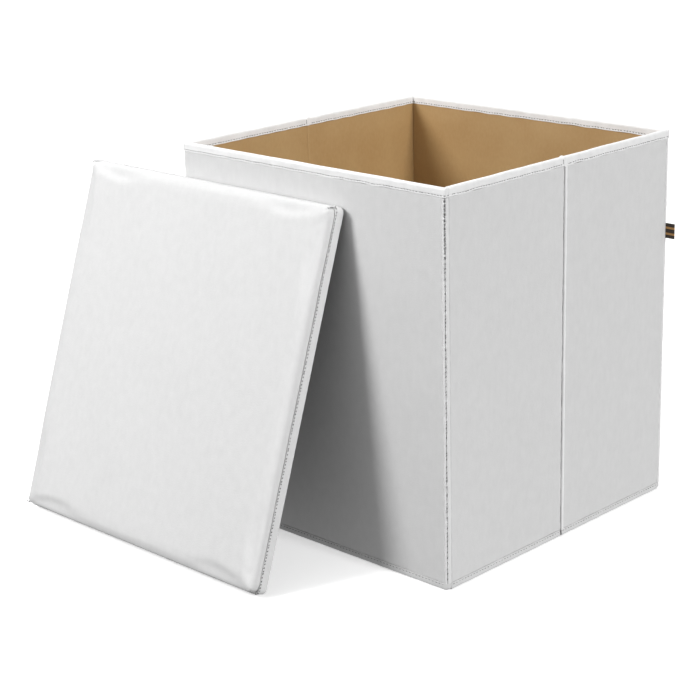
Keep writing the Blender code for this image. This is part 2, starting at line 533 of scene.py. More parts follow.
BACKDROP = StudioPaint("white_backdrop", "#F6F6F6", "#F3F3F3", 0.9, glow=0.9)
WARDROBE = Wardrobe()


def dress_node(node: str, finish: Finish) -> None:
    """Give a CAD node that stays in sight its finish.

    Args:
        node: the node's name.
        finish: what it is made of.
    """
    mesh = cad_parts[node].data
    mesh.materials.clear()
    mesh.materials.append(WARDROBE.get(finish))
    LOG.info("%s: dressed as %s", node, finish.name)


# ---------------------------------------------------------------------------------------------
# Mesh helpers
# ---------------------------------------------------------------------------------------------


def ripple(across: Array, up: Array, length: float, seed: int) -> Array:
    """Irregular waves, mostly between -1 and 1.

    Args:
        across, up: coordinates on the cloth, in metres.
        length: about how far apart the waves are, in metres.
        seed: a different number gives different waves.

    Returns:
        The height of the waves at each point.
    """
    across, up = np.broadcast_arrays(np.asarray(across, float), np.asarray(up, float))
    source = np.random.default_rng(seed)
    waves = 9
    total = np.zeros(across.shape)
    for _ in range(waves):
        turn, start = source.uniform(0.0, tau, 2)
        per_length = tau / (length * source.uniform(0.7, 1.5))
        total += np.sin(per_length * (across * cos(turn) + up * sin(turn)) + start)
    return total / waves ** 0.5


@dataclass(frozen=True)
class Wave:
    """Irregular waves in cloth: how high they stand, and about how far apart they are, in metres."""

    height: float
    length: float

    def at(self, across: Array, up: Array, seed: int) -> Array:
        """How high the waves stand at each place, in metres."""
        return self.height * ripple(across, up, self.length, seed)


def smooth_step(value: Array, low: float, high: float) -> Array:
    """0 below low, 1 above high, and smooth between; low may be the larger one."""
    t = np.clip((np.asarray(value, float) - low) / (high - low), 0.0, 1.0)
    return t * t * (3.0 - 2.0 * t)


def fall(closeness: Array) -> Array:
    """How far a rounded edge has fallen away, from 0 to 1, as a place comes close to it."""
    t = np.clip(closeness, 0.0, 1.0)
    return 1.0 - np.sqrt(np.clip(1.0 - t * t, 0.0, 1.0))


def hump(value: Array, middle: float, reach: float) -> Array:
    """A smooth hump, 1 at its middle and near 0 beyond twice its reach."""
    return np.exp(-(((value - middle) / reach) ** 2))


def from_edge(across: Array, up: Array, box: tuple) -> Array:
    """How far each place is from the nearest edge of a box: its start, end, bottom and top."""
    start, end, bottom, top = box
    return np.minimum(np.minimum(across - start, end - across), np.minimum(up - bottom, top - up))


def slack(across: Array, up: Array, box: tuple, wave: Wave, seed: int) -> Array:
    """How far a slack cloth that is held at its edges stands out between them.

    Args:
        across, up: places on the cloth.
        box: its start, end, bottom and top.
        wave: its waves.
        seed: a different number gives different waves.

    Returns:
        Metres, 0 at the edges and never much below.
    """
    held = smooth_step(from_edge(across, up, box), 0.0, 0.02)
    return wave.height * held * (ripple(across, up, wave.length, seed) + 1.0) * 0.5


def spaced(start: float, end: float, step: float, fine: float = 0.0004, edge: float = 0.0024) -> Array:
    """Stations along a line, close together near both its ends.

    Args:
        start, end: the line's ends.
        step: the distance between stations in its middle.
        fine: the distance between them near its ends.
        edge: how far from each end they are fine.

    Returns:
        The stations, in order.
    """
    middle = np.linspace(start + edge, end - edge, max(2, round((end - start) / step)))
    rim = np.arange(0.0, edge, fine)
    return np.concatenate([start + rim, middle, (end - rim)[::-1]])


def mesh_from(name: str, points: Array, faces: Sequence[Sequence[int]]) -> bpy.types.Mesh:
    """Make a mesh with its normals facing out and its faces shaded smooth.

    Args:
        name: the mesh's name.
        points: its points, in any arrangement that ends in 3.
        faces: for each face, the numbers of its points.

    Returns:
        The mesh.
    """
    mesh = bpy.data.meshes.new(name)
    mesh.from_pydata(points.reshape(-1, 3).tolist(), [], faces)
    shape = bmesh.new()
    shape.from_mesh(mesh)
    bmesh.ops.recalc_face_normals(shape, faces=shape.faces)
    shape.to_mesh(mesh)
    shape.free()
    mesh.shade_smooth()
    mesh.set_sharp_from_angle(angle=radians(60.0))
    return mesh


def grid_faces(rows: int, columns: int, first: int = 0, closed: bool = False) -> list:
    """List the quads between the neighbouring points of a grid.

    Args:
        rows, columns: the grid's size.
        first: the number of its first point.
        closed: whether each row's last point joins its first.

    Returns:
        Four point numbers for each quad.
    """
    wide = columns if closed else columns - 1
    return [
        (
            first + r * columns + c,
            first + r * columns + (c + 1) % columns,
            first + (r + 1) * columns + (c + 1) % columns,
            first + (r + 1) * columns + c,
        )
        for r in range(rows - 1)
        for c in range(wide)
    ]


def slab_mesh(name: str, front: Array, back: Array) -> bpy.types.Mesh:
    """A closed cloth between a front and a back grid of points.

    Args:
        name: the mesh's name.
        front, back: rows by columns by 3 points each.

    Returns:
        The mesh.
    """
    rows, columns = front.shape[:2]
    count = rows * columns
    faces = grid_faces(rows, columns) + grid_faces(rows, columns, count)
    edge = (
        [c for c in range(columns)]
        + [r * columns + columns - 1 for r in range(1, rows)]
        + [(rows - 1) * columns + c for c in range(columns - 2, -1, -1)]
        + [r * columns for r in range(rows - 2, 0, -1)]
    )
    for a, b in zip(edge, edge[1:] + edge[:1]):
        faces.append((a, b, b + count, a + count))
    return mesh_from(name, np.concatenate([front.reshape(-1, 3), back.reshape(-1, 3)]), faces)


def bar_mesh(name: str, sections: Array) -> bpy.types.Mesh:
    """A closed bar through sections, each one a ring of points.

    Args:
        name: the mesh's name.
        sections: stations by ring points by 3.

    Returns:
        The mesh, with a fan over each end.
    """
    stations, ring = sections.shape[:2]
    faces = grid_faces(stations, ring, closed=True)
    count = stations * ring
    caps = [sections[0].mean(axis=0), sections[-1].mean(axis=0)]
    last = count - ring
    for c in range(ring):
        after = (c + 1) % ring
        faces.append((c, after, count))
        faces.append((last + c, last + after, count + 1))
    return mesh_from(name, np.concatenate([sections.reshape(-1, 3), caps]), faces)


def ring_mesh(name: str, sections: Array) -> bpy.types.Mesh:
    """Make a closed hoop through sections whose last one joins the first.

    Args:
        name: the mesh's name.
        sections: stations by ring points by 3.

    Returns:
        The mesh.
    """
    stations, ring = sections.shape[:2]
    faces = [
        tuple(i % (stations * ring) for i in quad)
        for quad in grid_faces(stations + 1, ring, closed=True)
    ]
    return mesh_from(name, sections, faces)


def add_piece(
    mesh: bpy.types.Mesh, finish: Finish, body: Optional[str], replaced: Sequence[str] = ()
) -> bpy.types.Object:
    """Put a mesh in the scene as a dressed piece.

    Args:
        mesh: the mesh, in place; its name becomes the piece's name.
        finish: what it is made of.
        body: the body that it moves with, or None for a piece that is attached to none.
        replaced: the CAD nodes that it stands for.

    Returns:
        The piece.
    """
    piece = bpy.data.objects.new(mesh.name, mesh)
    bpy.context.scene.collection.objects.link(piece)
    mesh.materials.clear()
    mesh.materials.append(WARDROBE.get(finish))
    if body:
        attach(piece, body)
    if replaced:
        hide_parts(*replaced)
    LOG.info("%s: %d faces", piece.name, len(mesh.polygons))
    return piece


# ---------------------------------------------------------------------------------------------
# Stitching
# ---------------------------------------------------------------------------------------------


@dataclass(frozen=True)
class Stitching:
    """Threads laid in a row, each one a short rounded cord half sunk in the cloth."""

    pitch: float = 0.0038
    length: float = 0.0024
    radius: float = 0.00034
    slant: float = 0.0
    stray: float = 0.00012
    seed: int = 1
    slant_scatter: float = 0.12
    probe: float = 0.0004

    def thread_shape(self) -> tuple:
        """One thread about its own middle.

        Returns:
            Its points along, out of and across the cloth, and its faces.
        """
        sides, rings = 6, 5
        points = []
        for t in np.linspace(-1.0, 1.0, rings):
            bulk = self.radius * max(0.25, (1.0 - abs(t) ** 3) ** 0.5)
            for s in range(sides):
                turn = tau * s / sides
                points.append((t * self.length / 2.0, bulk * cos(turn), bulk * sin(turn)))
        faces = [list(q) for q in grid_faces(rings, sides, closed=True)]
        faces.append(list(range(sides)))
        faces.append([sides * (rings - 1) + s for s in range(sides)])
        return np.array(points), faces

    def row(self, name: str, path: Array, out: Array) -> bpy.types.Mesh:
        """Lay threads along a path.

        Args:
            name: the mesh's name.
            path: points that the row follows.
            out: the cloth's outward direction at each point.

        Returns:
            One mesh with all the threads.
        """
        steps = np.linalg.norm(np.diff(path, axis=0), axis=1)
        travelled = np.concatenate([[0.0], np.cumsum(steps)])
        stations = np.arange(self.pitch / 2.0, travelled[-1], self.pitch)
        source = np.random.default_rng(self.seed)
        stations = stations + source.normal(0.0, self.stray, stations.shape)
        place, ahead, behind, normal = (
            np.stack([np.interp(at, travelled, line[:, k]) for k in range(3)], -1)
            for at, line in (
                (stations, path), (stations + self.probe, path), (stations - self.probe, path),
                (stations, out),
            )
        )
        normal /= np.linalg.norm(normal, axis=1, keepdims=True)
        run = ahead - behind
        run -= normal * np.sum(run * normal, axis=1, keepdims=True)
        run /= np.linalg.norm(run, axis=1, keepdims=True)
        side = np.cross(run, normal)
        slant = self.slant + source.normal(0.0, self.slant_scatter, stations.shape)
        turned = run * np.cos(slant)[:, None] + side * np.sin(slant)[:, None]
        crossed = side * np.cos(slant)[:, None] - run * np.sin(slant)[:, None]
        shape, faces = self.thread_shape()
        points = (
            place[:, None, :]
            + shape[None, :, 0:1] * turned[:, None, :]
            + shape[None, :, 1:2] * normal[:, None, :]
            + shape[None, :, 2:3] * crossed[:, None, :]
        )
        each = len(shape)
        all_faces = [[i + n * each for i in f] for n in range(len(stations)) for f in faces]
        return mesh_from(name, points, all_faces)


RIM_STITCH = Stitching(pitch=0.0040, length=0.0024, radius=0.00040, stray=0.0003, seed=3)
HEM_STITCH = Stitching(pitch=0.0046, length=0.0022, radius=0.00030, seed=5)
LID_STITCH = Stitching(pitch=0.0035, length=0.0018, radius=0.00052, slant=0.35, stray=0.0005, seed=7)
CORNER_RISING = Stitching(pitch=0.0033, length=0.0027, radius=0.00030, slant=0.7, stray=0.0005, seed=9)
CORNER_FALLING = Stitching(pitch=0.0037, length=0.0027, radius=0.00030, slant=-0.7, stray=0.0005, seed=12)
CORNER_LIGHT = Stitching(pitch=0.0049, length=0.0030, radius=0.00034, slant=1.1, stray=0.0008, seed=13)
CREASE_TACK = Stitching(pitch=0.0027, length=0.0024, radius=0.00034, slant=0.15, stray=0.0002, seed=14)
TACK_STITCH = Stitching(pitch=0.0018, length=0.0024, radius=0.00040, slant=0.9, stray=0.0004, seed=11)
CORNER_TACK = Stitching(pitch=0.0056, length=0.0024, radius=0.00028, slant=0.5, stray=0.0018, seed=10)


# ---------------------------------------------------------------------------------------------
# Walls
# ---------------------------------------------------------------------------------------------


@dataclass(frozen=True)
class Face:
    """An upright face of the box: its outward direction, and its plane's distance from the middle."""

    out: tuple
    outside: float

    @property
    def along(self) -> Array:
        """The horizontal direction of the face: +X on front and back, +Y on the sides."""
        return np.array([abs(self.out[1]), abs(self.out[0]), 0.0])

    def place(self, along: Array, out: Array, up: Array) -> Array:
        """Turn places on the face to points in the world.

        Args:
            along, out, up: places along the face, out of it and up it.

        Returns:
            World points, in the same arrangement.
        """
        along, out, up = np.broadcast_arrays(along, out, up)
        return (
            along[..., None] * self.along
            + (self.outside + out)[..., None] * np.array(self.out, float)
            + up[..., None] * np.array([0.0, 0.0, 1.0])
        )

    def span(self, node: str) -> tuple:
        """How far a CAD node reaches along the face and up it.

        Args:
            node: the node's name.

        Returns:
            Its start, end, bottom and top.
        """
        low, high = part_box(node)
        axis = 0 if abs(self.out[1]) > 0.5 else 1
        return low[axis], high[axis], low.z, high.z


@dataclass(frozen=True)
class Pucker:
    """Small gathers that sewing leaves in cloth, dying away from the seam."""

    height: float
    fade: float
    wave: float

    def relief(self, distance: Array, along: Array, up: Array, seed: int) -> Array:
        """How far the gathers stand out.

        Args:
            distance: how far each place is from the seam.
            along, up: the place itself.
            seed: a different number gives different gathers.

        Returns:
            Metres, out of the cloth.
        """
        return self.height * np.exp(-distance / self.fade) * ripple(along, up, self.wave, seed)


SEAM_PUCKER = Pucker(0.00016, 0.006, 0.009)
RIM_PUCKER = Pucker(0.00020, 0.009, 0.012)
HEM_PUCKER = Pucker(0.00018, 0.008, 0.011)


@dataclass(frozen=True)
class Wall:
    """One stiff wall panel: velvet outside, lining inside, and the binding over its rim.

    The velvet is wrapped round both upright ends of the board where the wall is a half that
    folds, and it runs flat into the corner seams where the wall is whole.
    """

    name: str
    body: str
    face: Face
    wrapped: bool
    seed: int
    cloth: float = 0.0011
    turn: float = 0.0006
    depth: float = WALL_DEPTH
    wrap_out: float = 0.00018
    seam_allowance: float = 0.0058
    allowance_rise: float = 0.00026
    board_wave: Wave = Wave(0.00014, 0.085)
    lining_wave: Wave = Wave(0.00035, 0.11)
    lining_gather: Wave = Wave(0.00012, 0.014)
    edge_roll: float = 0.0005

    def node(self, layer: Layer) -> str:
        """The CAD node of a layer."""
        return f"{self.name}_{layer.value}"

    def cover_plan(self, start: float, end: float) -> tuple:
        """The cloth's line seen from above.

        Args:
            start, end: the ends of the panel.

        Returns:
            Places along the face, and places out of it, negative inside.
        """
        quarter = np.linspace(0.0, pi / 2.0, 6)
        if self.wrapped:
            start, end = start - self.wrap_out, end + self.wrap_out
            inner = -(self.depth - 0.0007)
        else:
            start, end = start - self.wrap_out * 2.0, end + self.wrap_out * 2.0
            inner = -self.cloth - 0.0002
        flat = spaced(start + self.turn, end - self.turn, 0.0030)
        along = np.concatenate(
            [
                [start],
                start + self.turn * (1.0 - np.cos(quarter)),
                flat[1:-1],
                end - self.turn * (1.0 - np.cos(quarter[::-1])),
                [end],
            ]
        )
        out = np.concatenate(
            [
                [inner],
                -self.turn * (1.0 - np.sin(quarter)),
                np.zeros(len(flat) - 2),
                -self.turn * (1.0 - np.sin(quarter[::-1])),
                [inner],
            ]
        )
        return along, out

    def relief(self, along: Array, up: Array, span: tuple) -> Array:
        """How far the velvet stands out of the flat board under it.

        Args:
            along, up: places on the face.
            span: the panel's start, end, bottom and top.

        Returns:
            Metres, small against the cloth's thickness.
        """
        start, end, bottom, top = span
        from_end = np.minimum(along - start, end - along)
        to_top, to_foot = top - up, up - bottom
        board = self.board_wave.at(along, up, self.seed)
        # The turned-in seam allowance lies under the velvet beside each upright seam.
        lap = smooth_step(from_end, self.seam_allowance, self.seam_allowance - 0.0014)
        allowance = self.allowance_rise * lap
        seam_pucker = SEAM_PUCKER.relief(from_end, along, up, self.seed + 1)
        rim_pucker = RIM_PUCKER.relief(to_top, along, up, self.seed + 2)
        hem_pucker = HEM_PUCKER.relief(to_foot, along, up, self.seed + 3)
        rolled = -self.edge_roll * fall(1.0 - np.minimum(to_top, to_foot) / self.edge_roll)
        return board + allowance + seam_pucker + rim_pucker + hem_pucker + rolled

    def make_cover(self) -> None:
        """Build the velvet."""
        span = self.face.span(self.node(Layer.COVER))
        along, out = self.cover_plan(span[0], span[1])
        rows = spaced(span[2], span[3], 0.0030, edge=0.0012)
        on_face = smooth_step(out, -self.turn, -self.turn * 0.3)
        s, h = np.meshgrid(along, rows)
        raised = self.relief(s, h, span) * on_face[None, :]
        front = self.face.place(s, out[None, :] + raised, h)
        inward = np.gradient(np.stack([along, out]), axis=1)
        inward /= np.linalg.norm(inward, axis=0)
        thin = self.cloth * (0.15 if self.wrapped else 1.0)
        depth = np.where(on_face > 0.5, self.cloth, thin)
        back = self.face.place(
            s + (inward[1] * depth)[None, :], (out - inward[0] * depth)[None, :] + 0.0 * h, h
        )
        mesh = slab_mesh(f"{self.name}_velvet", front, back)
        add_piece(mesh, VELVET, self.body, [self.node(Layer.COVER)])

    def make_lining(self) -> None:
        """Build the lining, slightly slack between its edges."""
        start, end, bottom, top = self.face.span(self.node(Layer.LINING))
        s, h = np.meshgrid(spaced(start, end, 0.006), spaced(bottom, top, 0.006))
        free = smooth_step(from_edge(s, h, (start, end, bottom, top)), 0.0, 0.02)
        loose, gather = self.lining_wave, self.lining_gather
        rise = loose.height * free * (ripple(s, h, loose.length, self.seed + 4) + 0.8)
        near_top = smooth_step(top - h, 0.02, 0.0)
        rise += gather.height * near_top * ripple(s, h, gather.length, self.seed + 5)
        front = self.face.place(s, -self.depth - rise, h)
        back = self.face.place(s, -self.depth + 0.0006, h)
        mesh = slab_mesh(f"{self.name}_tan_lining", front, back)
        add_piece(mesh, LINING, self.body, [self.node(Layer.LINING)])

    def dress(self) -> None:
        """Build all the layers, and give the board its finish."""
        self.make_cover()
        self.make_lining()
        dress_node(self.node(Layer.BOARD), HARDBOARD)
        Binding(self.name, self.body, self.face, not self.wrapped, self.seed).make()


@dataclass(frozen=True)
class Binding:
    """White tape folded over a rim, sewn through near its lower edge."""

    name: str
    body: str
    face: Face
    rounded: bool
    seed: int
    depth: float = WALL_DEPTH
    proud: float = 0.00022
    crown: float = 0.0022
    foot_roll: float = 0.0005
    corner: float = 0.0026
    stitch_up: float = 0.0019
    line_depth: float = 0.00030
    line_width: float = 0.00055
    swell: float = 0.00010
    lip: float = 0.00012
    edge_wave: Wave = Wave(0.00022, 0.03)
    top_wave: Wave = Wave(0.00016, 0.06)
    face_wave: Wave = Wave(0.00014, 0.022)

    def section(self, leg: float) -> tuple:
        """The tape's outline across its run.

        Args:
            leg: how tall the tape is.

        Returns:
            Places out of the wall, and places up from the tape's lower edge, as a ring.
        """
        outer, inner = self.proud, -self.depth - self.proud
        quarter = np.linspace(0.0, pi / 2.0, 7)
        top_out = [
            (outer - self.crown * (1.0 - cos(t)), leg - self.crown * (1.0 - sin(t))) for t in quarter
        ]
        top_in = [
            (inner + self.crown * (1.0 - cos(t)), leg - self.crown * (1.0 - sin(t)))
            for t in quarter[::-1]
        ]
        roll = self.foot_roll
        foot_out = [(outer - roll * (1.0 - cos(t)), roll * (1.0 - sin(t))) for t in quarter[::-2]]
        foot_in = [(inner + roll * (1.0 - cos(t)), roll * (1.0 - sin(t))) for t in quarter[::2]]
        rise = np.arange(0.0009, leg - self.crown - 0.0002, 0.0004)
        ring = (
            foot_out
            + [(outer, h) for h in rise]
            + top_out
            + [((outer + inner) / 2.0, leg)]
            + top_in
            + [(inner, h) for h in rise[::-1]]
            + foot_in
        )
        points = np.array(ring)
        return points[:, 0], points[:, 1]

    def relief(self, along: Array, up: Array, leg: float, inner: bool) -> Array:
        """How the tape's face swells between its stitches and sinks along their line.

        Args:
            along, up: places along the tape and up from its lower edge.
            leg: how tall the tape is.
            inner: whether this is the leg inside the box.

        Returns:
            Metres, out of the tape.
        """
        line = self.line_depth * hump(up, self.stitch_up, self.line_width)
        between = np.cos(tau * along / RIM_STITCH.pitch) * self.swell
        swell = between * hump(up, self.stitch_up, self.line_width * 4.0)
        loose = self.face_wave.at(along, up * 2.0, self.seed + (11 if inner else 6))
        lip = self.lip * smooth_step(up, self.stitch_up, 0.0003)
        fade = smooth_step(leg - up, 0.0, self.crown)
        return (loose + swell + lip - line) * fade

    def make(self) -> None:
        """Build the tape and its stitches."""
        node = f"{self.name}_binding"
        start, end, bottom, top = self.face.span(node)
        leg = top - bottom
        stations = spaced(start, end, 0.0013, fine=0.0003, edge=0.003)
        out, up = self.section(leg)
        s, d = np.meshgrid(stations, out, indexing="ij")
        h = np.broadcast_to(up, s.shape)
        middle = -self.depth / 2.0
        side = np.sign(d - middle)
        push = np.where(side > 0, self.relief(s, h, leg, False), self.relief(s, h, leg, True))
        d = d + side * push
        if self.rounded:
            for distance in (s - start, end - s):
                inset = self.corner * fall(1.0 - distance / self.corner)
                d = np.where(d > middle, np.maximum(d - inset, middle), d)
        waved = self.edge_waves(s) * smooth_step(h, leg * 0.5, 0.0)
        sag = self.top_wave.at(s, 0.0, self.seed + 8) * smooth_step(h, leg * 0.6, leg)
        mesh = bar_mesh(
            f"{self.name}_rim_tape", self.face.place(s, d, bottom + h + waved + sag - 0.00016)
        )
        add_piece(mesh, BINDING, self.body, [node])
        for label, turn in (("outer", 1.0), ("inner", -1.0)):
            path, out_of = self.stitch_line(start, end, bottom, turn)
            threads = RIM_STITCH.row(f"{self.name}_rim_stitches_{label}", path, out_of)
            add_piece(threads, GREY_THREAD, self.body)

    def edge_waves(self, along: Array) -> Array:
        """How far the tape's lower edge, and the stitches along it, wander up and down."""
        return self.edge_wave.at(along, 0.0, self.seed + 7)

    def stitch_line(self, start: float, end: float, bottom: float, turn: float) -> tuple:
        """Where the stitches lie, on round the corners of a whole wall's outer leg.

        Args:
            start, end, bottom: where the tape starts, ends and has its lower edge.
            turn: 1 for the outer leg and -1 for the inner one.

        Returns:
            World points, and the outward direction at each.
        """
        sunk = 0.00006
        flat = self.proud - sunk if turn > 0 else -self.depth - self.proud + sunk
        rounded = turn > 0 and self.rounded
        inset = self.corner if rounded else 0.003
        along = np.linspace(start + inset, end - inset, 200)
        place = np.full_like(along, flat)
        lean = np.zeros_like(along)
        if rounded:
            arc = np.linspace(0.0, pi / 2.0, 8)[1:]
            tail = np.linspace(0.0, self.depth - self.corner - 0.0008, 4)[1:]
            arc_along = self.corner * np.sin(arc)
            arc_place = flat - self.corner * (1.0 - np.cos(arc))
            end_along = np.concatenate([end - self.corner + arc_along, np.full(3, end)])
            end_place = np.concatenate([arc_place, arc_place[-1] - tail])
            end_lean = np.concatenate([arc, np.full(3, pi / 2.0)])
            start_along = (start + end) - end_along
            along = np.concatenate([start_along[::-1], along, end_along])
            place = np.concatenate([end_place[::-1], place, end_place])
            lean = np.concatenate([-end_lean[::-1], lean, end_lean])
        path = self.face.place(along, place, bottom + self.stitch_up + self.edge_waves(along))
        out = (
            np.cos(lean)[:, None] * turn * np.array(self.face.out, float)
            + np.sin(lean)[:, None] * self.face.along
        )
        return path, out


@dataclass(frozen=True)
class CornerSeam:
    """The sewn upright edge between two walls: two rolled lips with a groove between them."""

    name: str
    body: str
    sign_x: float
    sign_y: float
    lip: float = 0.0013
    reach: float = 0.0031
    groove: float = 0.0030
    gape: float = 0.0004
    gape_length: float = 0.055
    gape_wave: Wave = Wave(0.25, 0.030)
    pinch: Wave = Wave(0.00016, 0.006)
    drift: Wave = Wave(0.00014, 0.045)
    dense_length: float = 0.062

    def section(self, width: float, depth: float) -> tuple:
        """The seam's outline from above, as distances in from the two outer faces.

        Args:
            width, depth: the seam's size along X and Y.

        Returns:
            Ring points by 2, and the way that each moves where the seam gapes.
        """
        turns = np.linspace(-pi / 2.0, -pi, 9)
        first = [(self.reach + self.lip * cos(t), self.lip + self.lip * sin(t)) for t in turns]
        second = [(v, u) for u, v in first[::-1]]
        rim = [(width, 0.0)] + first + [(self.groove, self.groove)] + second
        rim += [(0.0, depth), (width, depth)]
        moves = [(0.0, 0.0)] + [(1.0, 0.0)] * 9 + [(0.0, 0.0)] + [(0.0, 1.0)] * 9 + [(0.0, 0.0)] * 2
        return np.array(rim), np.array(moves)

    def make(self) -> None:
        """Build the seam and the threads across its groove."""
        node = f"corner_seam_{self.name}"
        low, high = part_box(node)
        corner = Vector(
            (high.x if self.sign_x > 0 else low.x, high.y if self.sign_y > 0 else low.y, 0.0)
        )
        ring, moves = self.section(high.x - low.x, high.y - low.y)
        rows = spaced(low.z, high.z, 0.0016, fine=0.0004, edge=0.0012)
        seed = int(20 + self.sign_x + 2 * self.sign_y)
        open_top = np.exp(-(high.z - rows) / self.gape_length)
        # The gape's own waves are a share of it, not metres.
        gape = self.gape * (open_top + self.gape_wave.at(rows, 0.0, seed))
        pinch = self.pinch.at(rows, 0.0, seed + 5)
        drift = self.drift.at(rows, 0.0, seed + 6)
        near = np.exp(-((ring / 0.0030) ** 2).sum(axis=1))
        inward = np.array([-self.sign_x, -self.sign_y])
        plan = (
            ring[None]
            + moves[None] * (gape + pinch)[:, None, None]
            + near[None, :, None] * drift[:, None, None] * np.array([1.0, -1.0])
        )
        plan = np.clip(plan, 0.0, None)
        points = np.empty((len(rows), len(ring), 3))
        points[..., 0] = corner.x + inward[0] * plan[..., 0]
        points[..., 1] = corner.y + inward[1] * plan[..., 1]
        points[..., 2] = rows[:, None]
        mesh = bar_mesh(f"{self.name}_corner", points)
        add_piece(mesh, SEAM_VELVET, self.body, [node])
        self.make_threads(corner, inward, low.z, high.z)

    def make_threads(self, corner: Vector, inward: Array, foot: float, top: float) -> None:
        """Lay the threads across the groove: dense near the rim, and a few lower down.

        Args:
            corner: the box's outermost point here, seen from above.
            inward: the way into the box from it.
            foot, top: the seam's lowest and highest point.
        """
        mouth = self.lip * 1.12
        heights = np.linspace(foot + 0.004, top - 0.0012, 240)
        across = [np.full_like(heights, corner[k] + inward[k] * mouth) for k in (0, 1)]
        path = np.stack([*across, heights], -1)
        out = np.broadcast_to([-inward[0], -inward[1], 0.0], path.shape)
        dense = heights > top - self.dense_length
        for label, stitching, part, finish in (
            ("rising", CORNER_RISING, dense, DARK_THREAD),
            ("falling", CORNER_FALLING, dense, DARK_THREAD),
            ("light", CORNER_LIGHT, dense, WHITE_THREAD),
            ("lower", CORNER_TACK, ~dense, GREY_THREAD),
        ):
            threads = stitching.row(f"{self.name}_corner_{label}_stitches", path[part], out[part])
            add_piece(threads, finish, self.body)


@dataclass(frozen=True)
class CreaseCord:
    """The pressed velvet fold that stands proud in a side wall's middle crease, painted almost white as a
    highlight along its ridge.
    """

    side: Side
    half_width: float = 0.00175
    proud: float = 0.0006
    keep: float = 0.35
    swell: Wave = Wave(0.05, 0.03)
    tack: Wave = Wave(0.04, 0.008)
    drift: Wave = Wave(0.0001, 0.05)

    def make(self) -> None:
        """Build the fold as a tapering cord with small pinches where it is tacked."""
        name = self.side.name.lower()
        node = f"crease_cord_{name}"
        low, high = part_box(node)
        middle = (low + high) / 2.0
        high.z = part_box(f"{name}_near_binding")[0].z + 0.0006
        rows = spaced(low.z, high.z, 0.0022, fine=0.0003, edge=0.0015)
        turns = np.linspace(0.0, tau, 17)[:-1]
        to_top, to_foot = high.z - rows, rows - low.z
        tip, toe = (
            np.sqrt(np.clip(1.0 - (1.0 - np.clip(away / taper, 0.0, 1.0)) ** 2, 0.02, 1.0))
            for away, taper in ((to_top, 0.0014), (to_foot, 0.0010))
        )
        # The swelling and the tacks' pinches are shares of the fold's width, not metres.
        slim = 0.95 + self.swell.at(rows, 0.0, 31) + self.tack.at(rows, 0.0, 32)
        bulk = self.half_width * np.clip(slim, 0.8, 1.05) * tip * toe
        drift = self.drift.at(rows, 0.0, 33)
        points = np.empty((len(rows), len(turns), 3))
        points[..., 0] = middle.x + self.side.value * self.proud + bulk[:, None] * np.cos(turns)
        points[..., 1] = middle.y + drift[:, None] * 0.5 + bulk[:, None] * np.sin(turns) * 0.97
        points[..., 2] = rows[:, None]
        mesh = bar_mesh(f"{name}_crease_fold", points)
        # The fold's velvet is painted almost white: a painted highlight along its ridge.
        fold = add_piece(mesh, FOLD_VELVET_PAINTED_HIGHLIGHT, f"{name}_near_wall", [node])
        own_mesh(fold)


